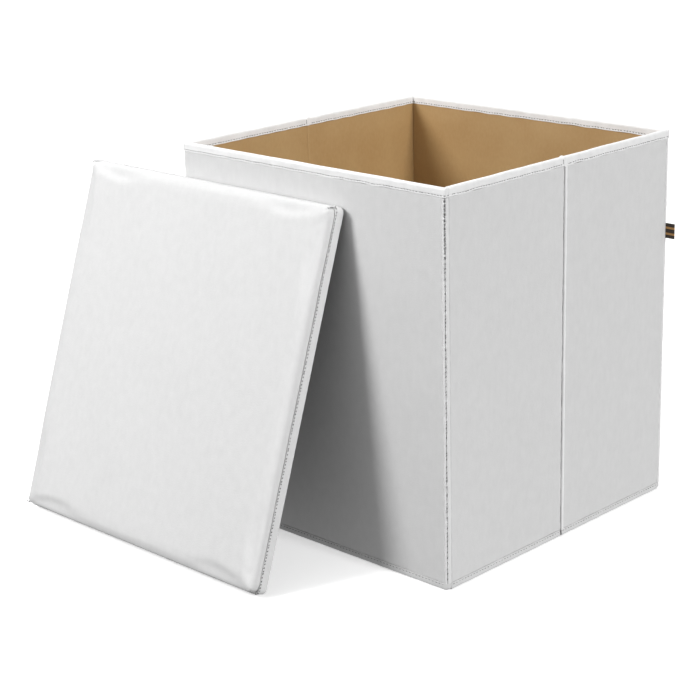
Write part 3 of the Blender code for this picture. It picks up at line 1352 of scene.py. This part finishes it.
@dataclass(frozen=True)
class CreaseBridge:
    """Cloth that runs on over the gap between the halves of a side wall."""

    side: Side
    depth: float = WALL_DEPTH
    stations: int = 11
    bulge: float = 0.0007

    def strip(self, stem: str, layer: Layer, finish: Finish, out_range: tuple) -> None:
        """Bridge the gap in one layer.

        Args:
            stem: the piece's last words.
            layer: the layer that it continues.
            finish: what it is made of.
            out_range: its outermost and innermost place, measured out of the wall.
        """
        name = self.side.name.lower()
        near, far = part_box(f"{name}_near_{layer.value}"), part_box(f"{name}_far_{layer.value}")
        lap = 0.0011 if layer is Layer.BINDING else 0.0002
        start, end = near[1].y - lap, far[0].y + lap
        bottom, top = near[0].z, near[1].z
        outermost = near[1].x if self.side is Side.RIGHT else near[0].x
        face = Face((float(self.side.value), 0.0, 0.0), abs(outermost))
        outer, inner = out_range
        tall = top - bottom
        crown = min(0.0022, tall / 3.0) if layer is Layer.BINDING else 0.0001
        quarter = np.linspace(0.0, pi / 2.0, 6)
        ring = np.array(
            [(outer, 0.0), (outer, tall * 0.4)]
            + [(outer - crown * (1 - cos(t)), tall - crown * (1 - sin(t))) for t in quarter]
            + [(inner + crown * (1 - cos(t)), tall - crown * (1 - sin(t))) for t in quarter[::-1]]
            + [(inner, tall * 0.4), (inner, 0.0)]
        )
        arch = np.sin(np.linspace(0.0, pi, self.stations)) ** 0.6
        bulge = self.bulge * arch if layer is Layer.BINDING else 0.0 * arch
        s, d = np.meshgrid(np.linspace(start, end, self.stations), ring[:, 0], indexing="ij")
        d = d + np.sign(d - (outer + inner) / 2.0) * bulge[:, None]
        h = bottom + ring[None, :, 1] + bulge[:, None] * (ring[None, :, 1] > tall * 0.5)
        placed = face.place(s, d, h)
        piece = add_piece(bar_mesh(f"{name}_{stem}", placed), finish, None)
        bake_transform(piece)

    def make(self) -> None:
        """Bridge the binding and the lining."""
        proud = 0.0002
        self.strip("crease_tape", Layer.BINDING, BINDING, (proud, -self.depth - proud))
        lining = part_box(f"{self.side.name.lower()}_near_lining")
        thick = lining[1].x - lining[0].x
        self.strip("crease_lining", Layer.LINING, LINING, (0.0, -thick - proud))
        self.make_tacks()

    def make_tacks(self) -> None:
        """Sew the tape's lap down with a short upright row on each leg."""
        name = self.side.name.lower()
        low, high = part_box(f"{name}_near_binding")
        up = np.linspace(low.z + 0.0020, high.z - 0.0012, 30)
        for leg, x, out in (
            ("outer", self.side.value * max(abs(low.x), abs(high.x)), self.side.value),
            ("inner", self.side.value * min(abs(low.x), abs(high.x)), -self.side.value),
        ):
            across, beside = x + out * 0.0003, high.y - 0.0014
            path = np.stack([np.full_like(up, across), np.full_like(up, beside), up], -1)
            facing = np.broadcast_to([float(out), 0.0, 0.0], path.shape)
            row = CREASE_TACK.row(f"{name}_crease_tacks_{leg}", path, facing)
            add_piece(row, DARK_THREAD, f"{name}_near_wall")


@dataclass(frozen=True)
class Hem:
    """The turned-up strip that closes the foot of a wall, sewn through along its upper edge."""

    name: str
    face: Face
    rounded: bool
    seed: int
    foot: float = 0.0018
    depth: float = WALL_DEPTH
    proud: float = 0.00025
    corner: float = 0.0048
    corner_lift: float = 0.0022
    stitch_up: float = 0.0056
    line_depth: float = 0.0003
    line_width: float = 0.0006
    pinch: float = 0.0001
    wave: Wave = Wave(0.00016, 0.018)

    def make(self) -> None:
        """Build the hem and its stitches."""
        node = f"hem_{self.name}"
        start, end, bottom, top = self.face.span(node)
        tall, depth = top - bottom, self.depth
        quarter = np.linspace(0.0, pi / 2.0, 6)
        foot = [(self.proud - self.foot * (1 - cos(t)), self.foot * (1 - sin(t))) for t in quarter[::-1]]
        rise = np.arange(self.foot + 0.0003, tall - 0.0004, 0.0004)
        ring = np.array(
            foot
            + [(self.proud, h) for h in rise]
            + [(self.proud - 0.0003, tall), (-depth, tall), (-depth, 0.0)]
        )
        stations = spaced(start, end, 0.0016, fine=0.0004, edge=0.0036)
        s, d = np.meshgrid(stations, ring[:, 0], indexing="ij")
        h = np.broadcast_to(ring[:, 1], s.shape)
        front = d > -depth / 2.0
        line = self.line_depth * hump(h, self.stitch_up, self.line_width)
        swell = self.wave.at(s, h * 2.0, self.seed)
        pinch = self.pinch * np.cos(tau * s / HEM_STITCH.pitch) * hump(h, self.stitch_up, 0.002)
        d = d + np.where(front, swell + pinch - line, 0.0)
        if self.rounded:
            near = np.clip(1.0 - np.minimum(s - start, end - s) / self.corner, 0.0, 1.0)
            d = np.where(front, np.maximum(d - self.corner * fall(near), -depth * 0.9), d)
            h = np.where(h < tall * 0.3, h + self.corner_lift * near ** 2, h)
        mesh = bar_mesh(f"{self.name}_hem", self.face.place(s, d, bottom + h))
        add_piece(mesh, VELVET, "base", [node])
        edge = self.corner if self.rounded else 0.001
        along = np.linspace(start + edge, end - edge, 160)
        path = self.face.place(along, self.proud - 0.00014, bottom + self.stitch_up)
        out = np.broadcast_to(np.array(self.face.out, float), path.shape)
        threads = HEM_STITCH.row(f"{self.name}_hem_stitches", path, out)
        add_piece(threads, GREY_THREAD, "base")


@dataclass(frozen=True)
class FlatCloth:
    """A level cloth or lined board that is flat but for faint waves."""

    node: str
    name: str
    body: str
    finish: Finish
    slot: Slot
    wave: Wave
    up: bool = True

    def make(self) -> None:
        """Build it in its CAD node's place."""
        low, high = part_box(self.node)
        x, y = np.meshgrid(spaced(low.x, high.x, 0.006), spaced(low.y, high.y, 0.006))
        rise = slack(x, y, (low.x, high.x, low.y, high.y), self.wave, 41)
        top = high.z + (rise if self.up else 0.0 * rise)
        bottom = low.z + (0.0 * rise if self.up else rise)
        mesh = slab_mesh(self.name, np.stack([x, y, top], -1), np.stack([x, y, bottom], -1))
        add_piece(mesh, self.finish, self.body, [self.node])


@dataclass(frozen=True)
class SideLabel:
    """A short ribbon, folded in half and sewn into the back right corner seam."""

    thick: float = 0.0005

    def make(self) -> None:
        """Build the folded ribbon."""
        low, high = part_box("side_label")
        middle = (low.y + high.y) / 2.0
        half = (high.y - low.y) / 2.0
        turn = np.linspace(-pi / 2.0, pi / 2.0, 9)
        straight = np.linspace(low.x, high.x - half, 8)[:-1]
        outer_x = np.concatenate([straight, high.x - half + half * np.cos(turn), straight[::-1]])
        outer_y = np.concatenate([-half + 0.0 * straight, half * np.sin(turn), half + 0.0 * straight])
        rows = spaced(low.z, high.z, 0.0015, fine=0.0003, edge=0.0008)
        flare = 0.00012 * np.sin(outer_x[None, :] * 900.0) * np.cos(rows[:, None] * 300.0)
        shrink = 1.0 - self.thick / half
        z = rows[:, None] + 0.0 * outer_x[None, :]
        front = np.stack(
            [outer_x[None, :] + 0.0 * z, middle + np.clip(outer_y[None, :] + flare, -half, half), z], -1
        )
        inner_x = np.where(
            outer_x > high.x - half, high.x - half + (outer_x - high.x + half) * shrink, outer_x
        )
        back = np.stack(
            [inner_x[None, :] + 0.0 * z, middle + outer_y[None, :] * shrink + 0.0 * z, z], -1
        )
        mesh = slab_mesh("corner_ribbon_label", front, back)
        add_piece(mesh, RIBBON, "back_wall", ["side_label"])


@dataclass
class StorageBox:
    """The folding box: six wall panels, four corner seams, two creases, hems, base and label."""

    faces: dict = field(init=False)
    walls: list = field(init=False)

    def __post_init__(self) -> None:
        """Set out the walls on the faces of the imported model."""
        front = Face((0.0, -1.0, 0.0), -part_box("front_cover")[0].y)
        back = Face((0.0, 1.0, 0.0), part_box("back_cover")[1].y)
        right = Face((1.0, 0.0, 0.0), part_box("right_near_cover")[1].x)
        left = Face((-1.0, 0.0, 0.0), -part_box("left_near_cover")[0].x)
        self.faces = {"front": front, "back": back, "right": right, "left": left}
        self.walls = [
            Wall("front", "base", front, False, 100),
            Wall("back", "back_wall", back, False, 200),
            Wall("right_near", "right_near_wall", right, True, 300),
            Wall("right_far", "right_far_wall", right, True, 400),
            Wall("left_near", "left_near_wall", left, True, 500),
            Wall("left_far", "left_far_wall", left, True, 600),
        ]

    def make(self) -> None:
        """Build the box."""
        for wall in self.walls:
            wall.dress()
        for name, body, sign_y in (("front", "base", -1.0), ("back", "back_wall", 1.0)):
            for side in Side:
                CornerSeam(f"{name}_{side.name.lower()}", body, float(side.value), sign_y).make()
        for side in Side:
            CreaseCord(side).make()
            CreaseBridge(side).make()
        Hem("front", self.faces["front"], True, 700).make()
        Hem("back", self.faces["back"], True, 710).make()
        for side in Side:
            stem = side.name.lower()
            Hem(f"{stem}_near", self.faces[stem], False, 720 + side.value).make()
            Hem(f"{stem}_far", self.faces[stem], False, 730 + side.value).make()
        FlatCloth(
            "base_cloth", "base_undercloth", "base", UNDERCLOTH, Slot.UNDERCLOTH,
            Wave(0.0003, 0.07), up=False,
        ).make()
        FlatCloth(
            "base_lining", "floor_board_lining", "floor_board", LINING, Slot.LINING, Wave(0.0005, 0.07)
        ).make()
        dress_node("base_board", HARDBOARD)
        SideLabel().make()


# ---------------------------------------------------------------------------------------------
# Lid
# ---------------------------------------------------------------------------------------------


@dataclass(frozen=True)
class Lid:
    """The padded lid, drawn flat and then leant against the front wall.

    In its own frame X runs across it, Y up it and Z from its underside to its pad.
    """

    width: float = 0.386
    length: float = 0.408
    thickness: float = 0.026
    lean: float = radians(18.8)
    offset: float = -0.134
    wall_gap: float = 0.0015
    floor_gap: float = 0.0005
    band: float = 0.0118
    plan_corner: float = 0.0072
    pad_corner: float = 0.0085
    pad_inset: float = 0.0011
    pad_foot: float = 0.0070
    pad_top: float = 0.0222
    edge_round: float = 0.0030
    voxel: float = 0.0040
    pressure: float = 4.0
    frames: int = 20
    crown: float = 0.0016
    bulge: float = 0.0011
    cloth_quality: int = 5
    cloth_mass: float = 0.2
    cloth_stiffness: float = 12.0
    cloth_bending: float = 0.6
    held_below: float = 0.0100
    dent_from_edge: float = 0.0125
    gather_centre: float = 0.013
    stitch_down: float = 0.0013
    band_thick: float = 0.0032
    underside_inset: float = 0.0030
    dent_wave: Wave = Wave(0.35, 0.09)
    top_wave: Wave = Wave(0.00016, 0.10)
    band_wave: Wave = Wave(0.00016, 0.03)
    edge_wave: Wave = Wave(0.00025, 0.045)
    underside_wave: Wave = Wave(0.0006, 0.08)

    def matrix(self) -> Matrix:
        """Lean the lid against the front wall.

        Returns:
            The lid's own frame in the world.
        """
        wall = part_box("front_cover")[0].y
        foot = wall - self.wall_gap - self.length * sin(self.lean)
        place = Matrix.Translation((self.offset, foot, self.floor_gap))
        return place @ Matrix.Rotation(pi / 2.0 - self.lean, 4, "X")

    def to_world(self, points: Array) -> Array:
        """Turn points from the lid's own frame to the world."""
        turned = np.array(self.matrix())
        return points @ turned[:3, :3].T + turned[:3, 3]

    def rounded_block(self) -> bpy.types.Object:
        """Cut the pad before it is filled: a flat block with rounded edges, in the lid's own frame.

        Returns:
            The block, with its cloth evened out by a modifier.
        """
        shape = bmesh.new()
        bmesh.ops.create_cube(shape, size=1.0)
        both = 2 * self.pad_inset
        size = Vector((self.width - both, self.length - both, self.pad_top - self.pad_foot))
        bmesh.ops.scale(shape, vec=size, verts=shape.verts)
        middle = Vector((0.0, self.length / 2.0, (self.pad_top + self.pad_foot) / 2.0))
        bmesh.ops.translate(shape, vec=middle, verts=shape.verts)
        upright = [e for e in shape.edges if abs(e.verts[0].co.z - e.verts[1].co.z) > 0.001]
        bmesh.ops.bevel(
            shape, geom=upright, offset=self.pad_corner, segments=5, profile=0.5, affect="EDGES"
        )
        shape.normal_update()
        top = [
            e for e in shape.edges
            if all(v.co.z > self.pad_top - 1e-5 for v in e.verts)
            and abs(e.link_faces[0].normal.z - e.link_faces[1].normal.z) > 0.5
        ]
        bmesh.ops.bevel(
            shape, geom=top, offset=self.edge_round, segments=4, profile=0.5, affect="EDGES"
        )
        mesh = bpy.data.meshes.new("lid_pad")
        shape.to_mesh(mesh)
        shape.free()
        block = bpy.data.objects.new("lid_pad", mesh)
        bpy.context.scene.collection.objects.link(block)
        remesh = block.modifiers.new("even_cloth", "REMESH")
        remesh.mode = "VOXEL"
        remesh.voxel_size = self.voxel
        return block

    def filled(self, block: bpy.types.Object) -> bpy.types.Mesh:
        """Blow the pad's cover up gently over its foam, as cloth, and keep the result.

        Args:
            block: the flat pad.

        Returns:
            The pad's mesh in the lid's own frame.
        """
        scene = bpy.context.scene
        even = bpy.data.meshes.new_from_object(block.evaluated_get(bpy.context.evaluated_depsgraph_get()))
        block.modifiers.clear()
        block.data = even
        start = np.empty(len(even.vertices) * 3)
        even.vertices.foreach_get("co", start)
        start = start.reshape(-1, 3)
        held = block.vertex_groups.new(name="held")
        held.add(np.flatnonzero(start[:, 2] < self.held_below).tolist(), 1.0, "REPLACE")
        cloth = block.modifiers.new("cover", "CLOTH")
        settings = cloth.settings
        settings.quality = self.cloth_quality
        settings.mass = self.cloth_mass
        settings.tension_stiffness = self.cloth_stiffness
        settings.compression_stiffness = self.cloth_stiffness
        settings.bending_stiffness = self.cloth_bending
        settings.vertex_group_mass = "held"
        settings.use_pressure = True
        settings.uniform_pressure_force = self.pressure
        settings.effector_weights.gravity = 0.0
        cloth.point_cache.frame_start = 1
        cloth.point_cache.frame_end = self.frames
        for step in range(1, self.frames + 1):
            scene.frame_set(step)
        result = block.evaluated_get(bpy.context.evaluated_depsgraph_get()).to_mesh()
        moved = np.empty(len(result.vertices) * 3)
        result.vertices.foreach_get("co", moved)
        moved = moved.reshape(-1, 3)
        block.modifiers.clear()
        scene.frame_set(1)
        shift = moved - start
        level = np.linalg.norm(shift[:, :2], axis=1, keepdims=True) + 1e-9
        shift[:, :2] *= self.bulge * np.tanh(level / self.bulge) / level
        rise = np.abs(shift[:, 2:]) + 1e-9
        shift[:, 2:] *= self.crown * np.tanh(rise / self.crown) / rise
        start = start + shift
        even.vertices.foreach_set("co", start.ravel())
        return even

    def pressed(self, points: Array) -> Array:
        """Add what sewing leaves in the pad: edge dents, gathers at the corners, slight waves.

        Args:
            points: the pad's points in the lid's own frame.

        Returns:
            The points, moved.
        """
        x, y, z = points.T.copy()
        half = self.width / 2.0
        top = smooth_step(z, self.pad_top - 0.003, self.pad_top + 0.0005)
        edges = (
            (half - x, 0.00040), (half + x, 0.00025), (self.length - y, 0.00025), (y, 0.00025)
        )
        for distance, depth in edges:
            run = np.minimum(np.minimum(half - np.abs(x), self.length - y), y)
            ends = smooth_step(run, 0.004, 0.016)
            strength = depth * (1.0 + self.dent_wave.at(x, y, 51)) * ends
            z = z - top * strength * hump(distance, self.dent_from_edge, 0.0045)
        z = z + top * self.top_wave.at(x, y, 52)
        for sign_x in (-1.0, 1.0):
            for far in (0.0, 1.0):
                sign_y = 1.0 if far else -1.0
                corner_x = sign_x * (half - self.gather_centre)
                corner_y = far * self.length - sign_y * self.gather_centre
                out_x, out_y = (x - corner_x) * sign_x, (y - corner_y) * sign_y
                reach = np.hypot(out_x, out_y)
                turn = np.arctan2(out_y, out_x)
                inside = smooth_step(np.minimum(out_x, out_y), -0.004, 0.001)
                gathers = np.sin(turn * 13.0 + 3.0 * sign_x + far) + 0.5 * np.sin(turn * 29.0 + far)
                depth = 0.00060 * inside * smooth_step(reach, 0.002, 0.011)
                z = z - depth * (1.0 + gathers) * smooth_step(z, self.pad_foot + 0.003, self.pad_top)
                pull = 0.0007 * inside * smooth_step(reach, 0.006, 0.014) * (0.6 + 0.4 * gathers)
                x, y = x - sign_x * pull * 0.7, y - sign_y * pull * 0.7
        limit = half - 0.0003
        x = np.clip(x, -limit, limit)
        y = np.clip(y, 0.0003, self.length - 0.0003)
        z = np.clip(z, self.pad_foot - 0.001, self.thickness - 0.0001)
        return np.stack([x, y, z], -1)

    def make_pad(self) -> None:
        """Build the velvet-covered foam pad."""
        mesh = self.filled(self.rounded_block())
        shape = bpy.data.objects["lid_pad"]
        finer = shape.modifiers.new("finer", "SUBSURF")
        finer.levels = finer.render_levels = 1
        smooth = bpy.data.meshes.new_from_object(shape.evaluated_get(bpy.context.evaluated_depsgraph_get()))
        bpy.data.objects.remove(shape)
        bpy.data.meshes.remove(mesh)
        points = np.empty(len(smooth.vertices) * 3)
        smooth.vertices.foreach_get("co", points)
        placed = self.to_world(self.pressed(points.reshape(-1, 3)))
        smooth.vertices.foreach_set("co", placed.ravel())
        smooth.name = "lid_pad"
        smooth.shade_smooth()
        pad = add_piece(smooth, VELVET, "lid", ["lid_cover", "lid_foam"])

    def outline(self, corner: float, step: float = 0.0019) -> tuple:
        """The lid's edge line as a closed path round its plan.

        Args:
            corner: the radius at the corners.
            step: how far apart the points are.

        Returns:
            Points by 2, and the outward direction at each by 2.
        """
        half, length = self.width / 2.0, self.length
        centres = (
            (half - corner, corner, -pi / 2), (half - corner, length - corner, 0.0),
            (-half + corner, length - corner, pi / 2), (-half + corner, corner, pi),
        )
        points, outs = [], []
        for i, (cx, cy, begin) in enumerate(centres):
            for t in np.linspace(begin, begin + pi / 2, 9):
                points.append((cx + corner * cos(t), cy + corner * sin(t)))
                outs.append((cos(t), sin(t)))
            following = centres[(i + 1) % 4]
            head = np.array(points[-1])
            toe = np.array(
                (following[0] + corner * cos(following[2]), following[1] + corner * sin(following[2]))
            )
            count = max(2, round(float(np.linalg.norm(toe - head)) / step))
            for share in np.linspace(0.0, 1.0, count + 1)[1:-1]:
                points.append(tuple(head + share * (toe - head)))
                outs.append(outs[-1])
        return np.array(points), np.array(outs)

    def mitres(self, travelled: Array, line: Array) -> Array:
        """Where the band is folded at the lid's corners.

        Args:
            travelled: the distance along the band's line at each of its points.
            line: the points, by 2.

        Returns:
            How deep each point lies in a fold, from 0 to 1.
        """
        depth = np.zeros(len(line))
        half = self.width / 2.0
        for sign_x in (-1.0, 1.0):
            for far in (0.0, self.length):
                reach = np.hypot(line[:, 0] - sign_x * half, line[:, 1] - far)
                depth += hump(travelled, travelled[int(np.argmin(reach))], 0.0011)
        return depth

    def make_tacks(self) -> None:
        """Sew the gathered velvet down at each corner with a short slanting row of dark thread."""
        turned = np.array(self.matrix())[:3, :3]
        for name, sign_x, far in (
            ("lower_left", -1.0, 0.0), ("lower_right", 1.0, 0.0),
            ("upper_left", -1.0, 1.0), ("upper_right", 1.0, 1.0),
        ):
            corner = np.array([sign_x * self.width / 2.0, far * self.length, 0.0])
            inward = np.array([-sign_x, 1.0 - 2.0 * far, 0.0])
            heights = np.array([0.0212, 0.0185, 0.0150, 0.0118])
            insets = np.array([0.0046, 0.0034, 0.0030, 0.0024])
            path = corner + inward * insets[:, None] + heights[:, None] * np.array([0.0, 0.0, 1.0])
            out = np.broadcast_to(-inward / 2.0 ** 0.5, path.shape) @ turned.T
            row = TACK_STITCH.row(f"lid_{name}_tacks", self.to_world(path), out)
            add_piece(row, DARK_THREAD, "lid")

    def make_band(self) -> None:
        """Build the flat velvet band round the lid's edge, and its stitches."""
        line, outward = self.outline(self.plan_corner)
        stitch_up = self.band - self.stitch_down
        rise = np.arange(0.0008, self.band - 0.0006, 0.0006)
        thick = self.band_thick
        ring = np.array(
            [(-0.0012, 0.0), (-0.0004, 0.0002), (-0.0001, 0.0006)]
            + [(0.0, h) for h in rise]
            + [(-0.0002, self.band - 0.0003), (-0.0007, self.band), (-0.0016, self.band - 0.0001)]
            + [(-thick, self.band - 0.0008), (-thick, 0.0008)]
        )
        steps = np.linalg.norm(np.diff(line, axis=0), axis=1)
        travelled = np.concatenate([[0.0], np.cumsum(steps)])
        s, h = np.meshgrid(travelled, ring[:, 1], indexing="ij")
        groove = 0.00042 * hump(h, stitch_up, 0.0008)
        pinch = 0.00010 * np.cos(tau * s / LID_STITCH.pitch) * hump(h, stitch_up, 0.002)
        flat = self.band_wave.at(s, h * 2.0, 61) - 0.00022 * hump(h, 0.0050, 0.0022)
        ridge = 0.0001 * hump(h, 0.0018, 0.0010)
        faced = ring[None, :, 0] > -0.0006
        mitre = self.mitres(travelled, line)
        fold = 0.0005 * mitre[:, None] * (h < self.band * 0.97)
        out = ring[None, :, 0] + np.where(faced, flat + ridge + pinch - groove - fold - 0.0007, 0.0)
        lift = self.edge_wave.at(s, 0.0, 62) * (h > self.band * 0.6)
        plan = line[:, None, :] + outward[:, None, :] * out[..., None]
        points = np.concatenate([plan, (h + lift)[..., None]], axis=-1)
        mesh = ring_mesh("lid_side_band", self.to_world(points))
        names = [f"lid_binding_{edge}" for edge in ("left", "right", "lower", "upper")]
        add_piece(mesh, VELVET, "lid", names)
        wave = self.edge_wave.at(travelled, 0.0, 62)
        path = np.concatenate([line - outward * 0.0008, (stitch_up + wave)[:, None]], axis=1)
        turned = np.array(self.matrix())[:3, :3]
        out = np.concatenate([outward, np.zeros((len(outward), 1))], axis=1) @ turned.T
        row = LID_STITCH.row("lid_band_stitches", self.to_world(path), out)
        add_piece(row, DARK_THREAD, "lid")

    def make_underside(self) -> None:
        """Build the slack dark cloth that closes the underside, and dress the board above it."""
        inset = self.underside_inset
        left, right = -self.width / 2.0 + inset, self.width / 2.0 - inset
        foot, head = inset, self.length - inset
        x, y = np.meshgrid(spaced(left, right, 0.006), spaced(foot, head, 0.006))
        rise = slack(x, y, (left, right, foot, head), self.underside_wave, 71)
        face = np.stack([x, y, 0.0006 - rise * 0.8], -1)
        back = np.stack([x, y, np.full_like(x, 0.0012)], -1)
        mesh = slab_mesh("lid_undercloth", self.to_world(face), self.to_world(back))
        add_piece(mesh, UNDERCLOTH, "lid", ["lid_underside"])
        dress_node("lid_board", POPLAR)

    def make(self) -> None:
        """Build the lid."""
        self.make_pad()
        self.make_band()
        self.make_tacks()
        self.make_underside()


# ---------------------------------------------------------------------------------------------
# Studio
# ---------------------------------------------------------------------------------------------


@dataclass(frozen=True)
class Camera:
    """A long lens at standing height, looking down on the front right corner."""

    place: tuple = (1.3321, -1.4934, 0.8115)
    heading: float = radians(-44.375)
    pitch: float = radians(17.502)
    roll: float = radians(-1.454)
    lens: float = 95.05
    sensor: float = 36.0

    def make(self) -> None:
        """Build the camera and make it the scene's own."""
        forward = Vector(
            (sin(self.heading) * cos(self.pitch), cos(self.heading) * cos(self.pitch), -sin(self.pitch))
        )
        right = forward.cross(Vector((0.0, 0.0, 1.0))).normalized()
        above = right.cross(forward)
        turned_right = right * cos(self.roll) + above * sin(self.roll)
        turned_above = above * cos(self.roll) - right * sin(self.roll)
        data = bpy.data.cameras.new("camera")
        data.lens = self.lens
        data.sensor_width = self.sensor
        data.dof.use_dof = False
        camera = bpy.data.objects.new("camera", data)
        camera.matrix_world = Matrix.Translation(self.place) @ Matrix(
            (turned_right, turned_above, -forward)
        ).transposed().to_4x4()
        bpy.context.scene.collection.objects.link(camera)
        bpy.context.scene.camera = camera


@dataclass(frozen=True)
class Softlight:
    """A large, far studio light behind white cloth, so wide that its shadows are soft."""

    name: str
    towards: tuple
    strength: float
    spread: float

    def make(self) -> None:
        """Build the light; it shines from the direction that it is named for."""
        data = bpy.data.lights.new(self.name, "SUN")
        data.energy = self.strength * pi
        data.angle = radians(self.spread)
        lamp = bpy.data.objects.new(self.name, data)
        lamp.rotation_euler = Vector(self.towards).to_track_quat("Z", "Y").to_euler()
        bpy.context.scene.collection.objects.link(lamp)


@dataclass(frozen=True)
class Softbox:
    """A round studio light near enough that its light falls off down the object."""

    name: str
    towards: tuple
    strength: float
    distance: float
    across: float
    aim: tuple = (0.0, -0.20, 0.25)

    def make(self) -> None:
        """Build the light, aimed at the middle of the front wall."""
        way = Vector(self.towards).normalized()
        data = bpy.data.lights.new(self.name, "AREA")
        data.shape = "DISK"
        data.size = self.across
        data.energy = 4.0 * pi * self.strength * self.distance ** 2
        lamp = bpy.data.objects.new(self.name, data)
        lamp.location = Vector(self.aim) + way * self.distance
        lamp.rotation_euler = way.to_track_quat("Z", "Y").to_euler()
        bpy.context.scene.collection.objects.link(lamp)


@dataclass(frozen=True)
class Studio:
    """The floor, the round wall behind everything, the sky and the lights."""

    floor_half: float = 30.0
    floor_level: float = -0.0002
    backdrop_height: float = 40.0
    backdrop_sides: int = 48
    sky: float = 0.33
    lights: tuple = (
        Softbox("overhead", (-0.10, -0.06, 1.0), 0.15, 0.95, 0.45),
        Softbox("key", (-0.374, -0.755, 0.540), 0.625, 3.0, 0.95),
        Softlight("fill", (0.90, 0.02, 0.40), 0.66, 10.0),
        Softlight("back", (-0.60, 0.70, 0.40), 0.34, 30.0),
    )

    def set_piece(self, name: str, points: Array, faces: list, finish: Finish) -> bpy.types.Object:
        """Put a piece of the studio itself round the object.

        Args:
            name: the piece's name.
            points, faces: its mesh.
            finish: what it is painted with.

        Returns:
            The piece, which throws no light back on the object.
        """
        mesh = mesh_from(name, points, faces)
        mesh.materials.append(WARDROBE.get(finish))
        piece = bpy.data.objects.new(name, mesh)
        bpy.context.scene.collection.objects.link(piece)
        piece.visible_diffuse = False
        return piece

    def make(self) -> None:
        """Build the studio."""
        half, level, sides = self.floor_half, self.floor_level, self.backdrop_sides
        corners = np.array([(-half, -half), (half, -half), (half, half), (-half, half)])
        floor = np.concatenate([corners, np.full((4, 1), level)], axis=1)
        self.set_piece("studio_floor", floor, [(0, 1, 2, 3)], FLOOR)
        turns = np.linspace(0.0, tau, sides + 1)[:-1]
        ring = half * 0.98 * np.stack([np.cos(turns), np.sin(turns)], -1)
        wall = np.stack(
            [np.c_[ring, np.full(sides, height)] for height in (level, self.backdrop_height)]
        )
        backdrop = self.set_piece(
            "studio_backdrop", wall, grid_faces(2, sides, closed=True), BACKDROP
        )
        backdrop.visible_shadow = False
        world = bpy.data.worlds.new("studio")
        world.use_nodes = True
        sky = world.node_tree.nodes["Background"]
        sky.inputs["Color"].default_value = (1.0, 1.0, 1.0, 1.0)
        sky.inputs["Strength"].default_value = self.sky
        bpy.context.scene.world = world
        for light in self.lights:
            light.make()
        bpy.context.scene.view_settings.view_transform = "Standard"


def main() -> None:
    """Build the whole scene, in order."""
    logging.basicConfig(level=logging.INFO, format="%(name)s: %(message)s")
    Camera().make()
    Studio().make()
    StorageBox().make()
    Lid().make()


if __name__ == "__main__":
    main()
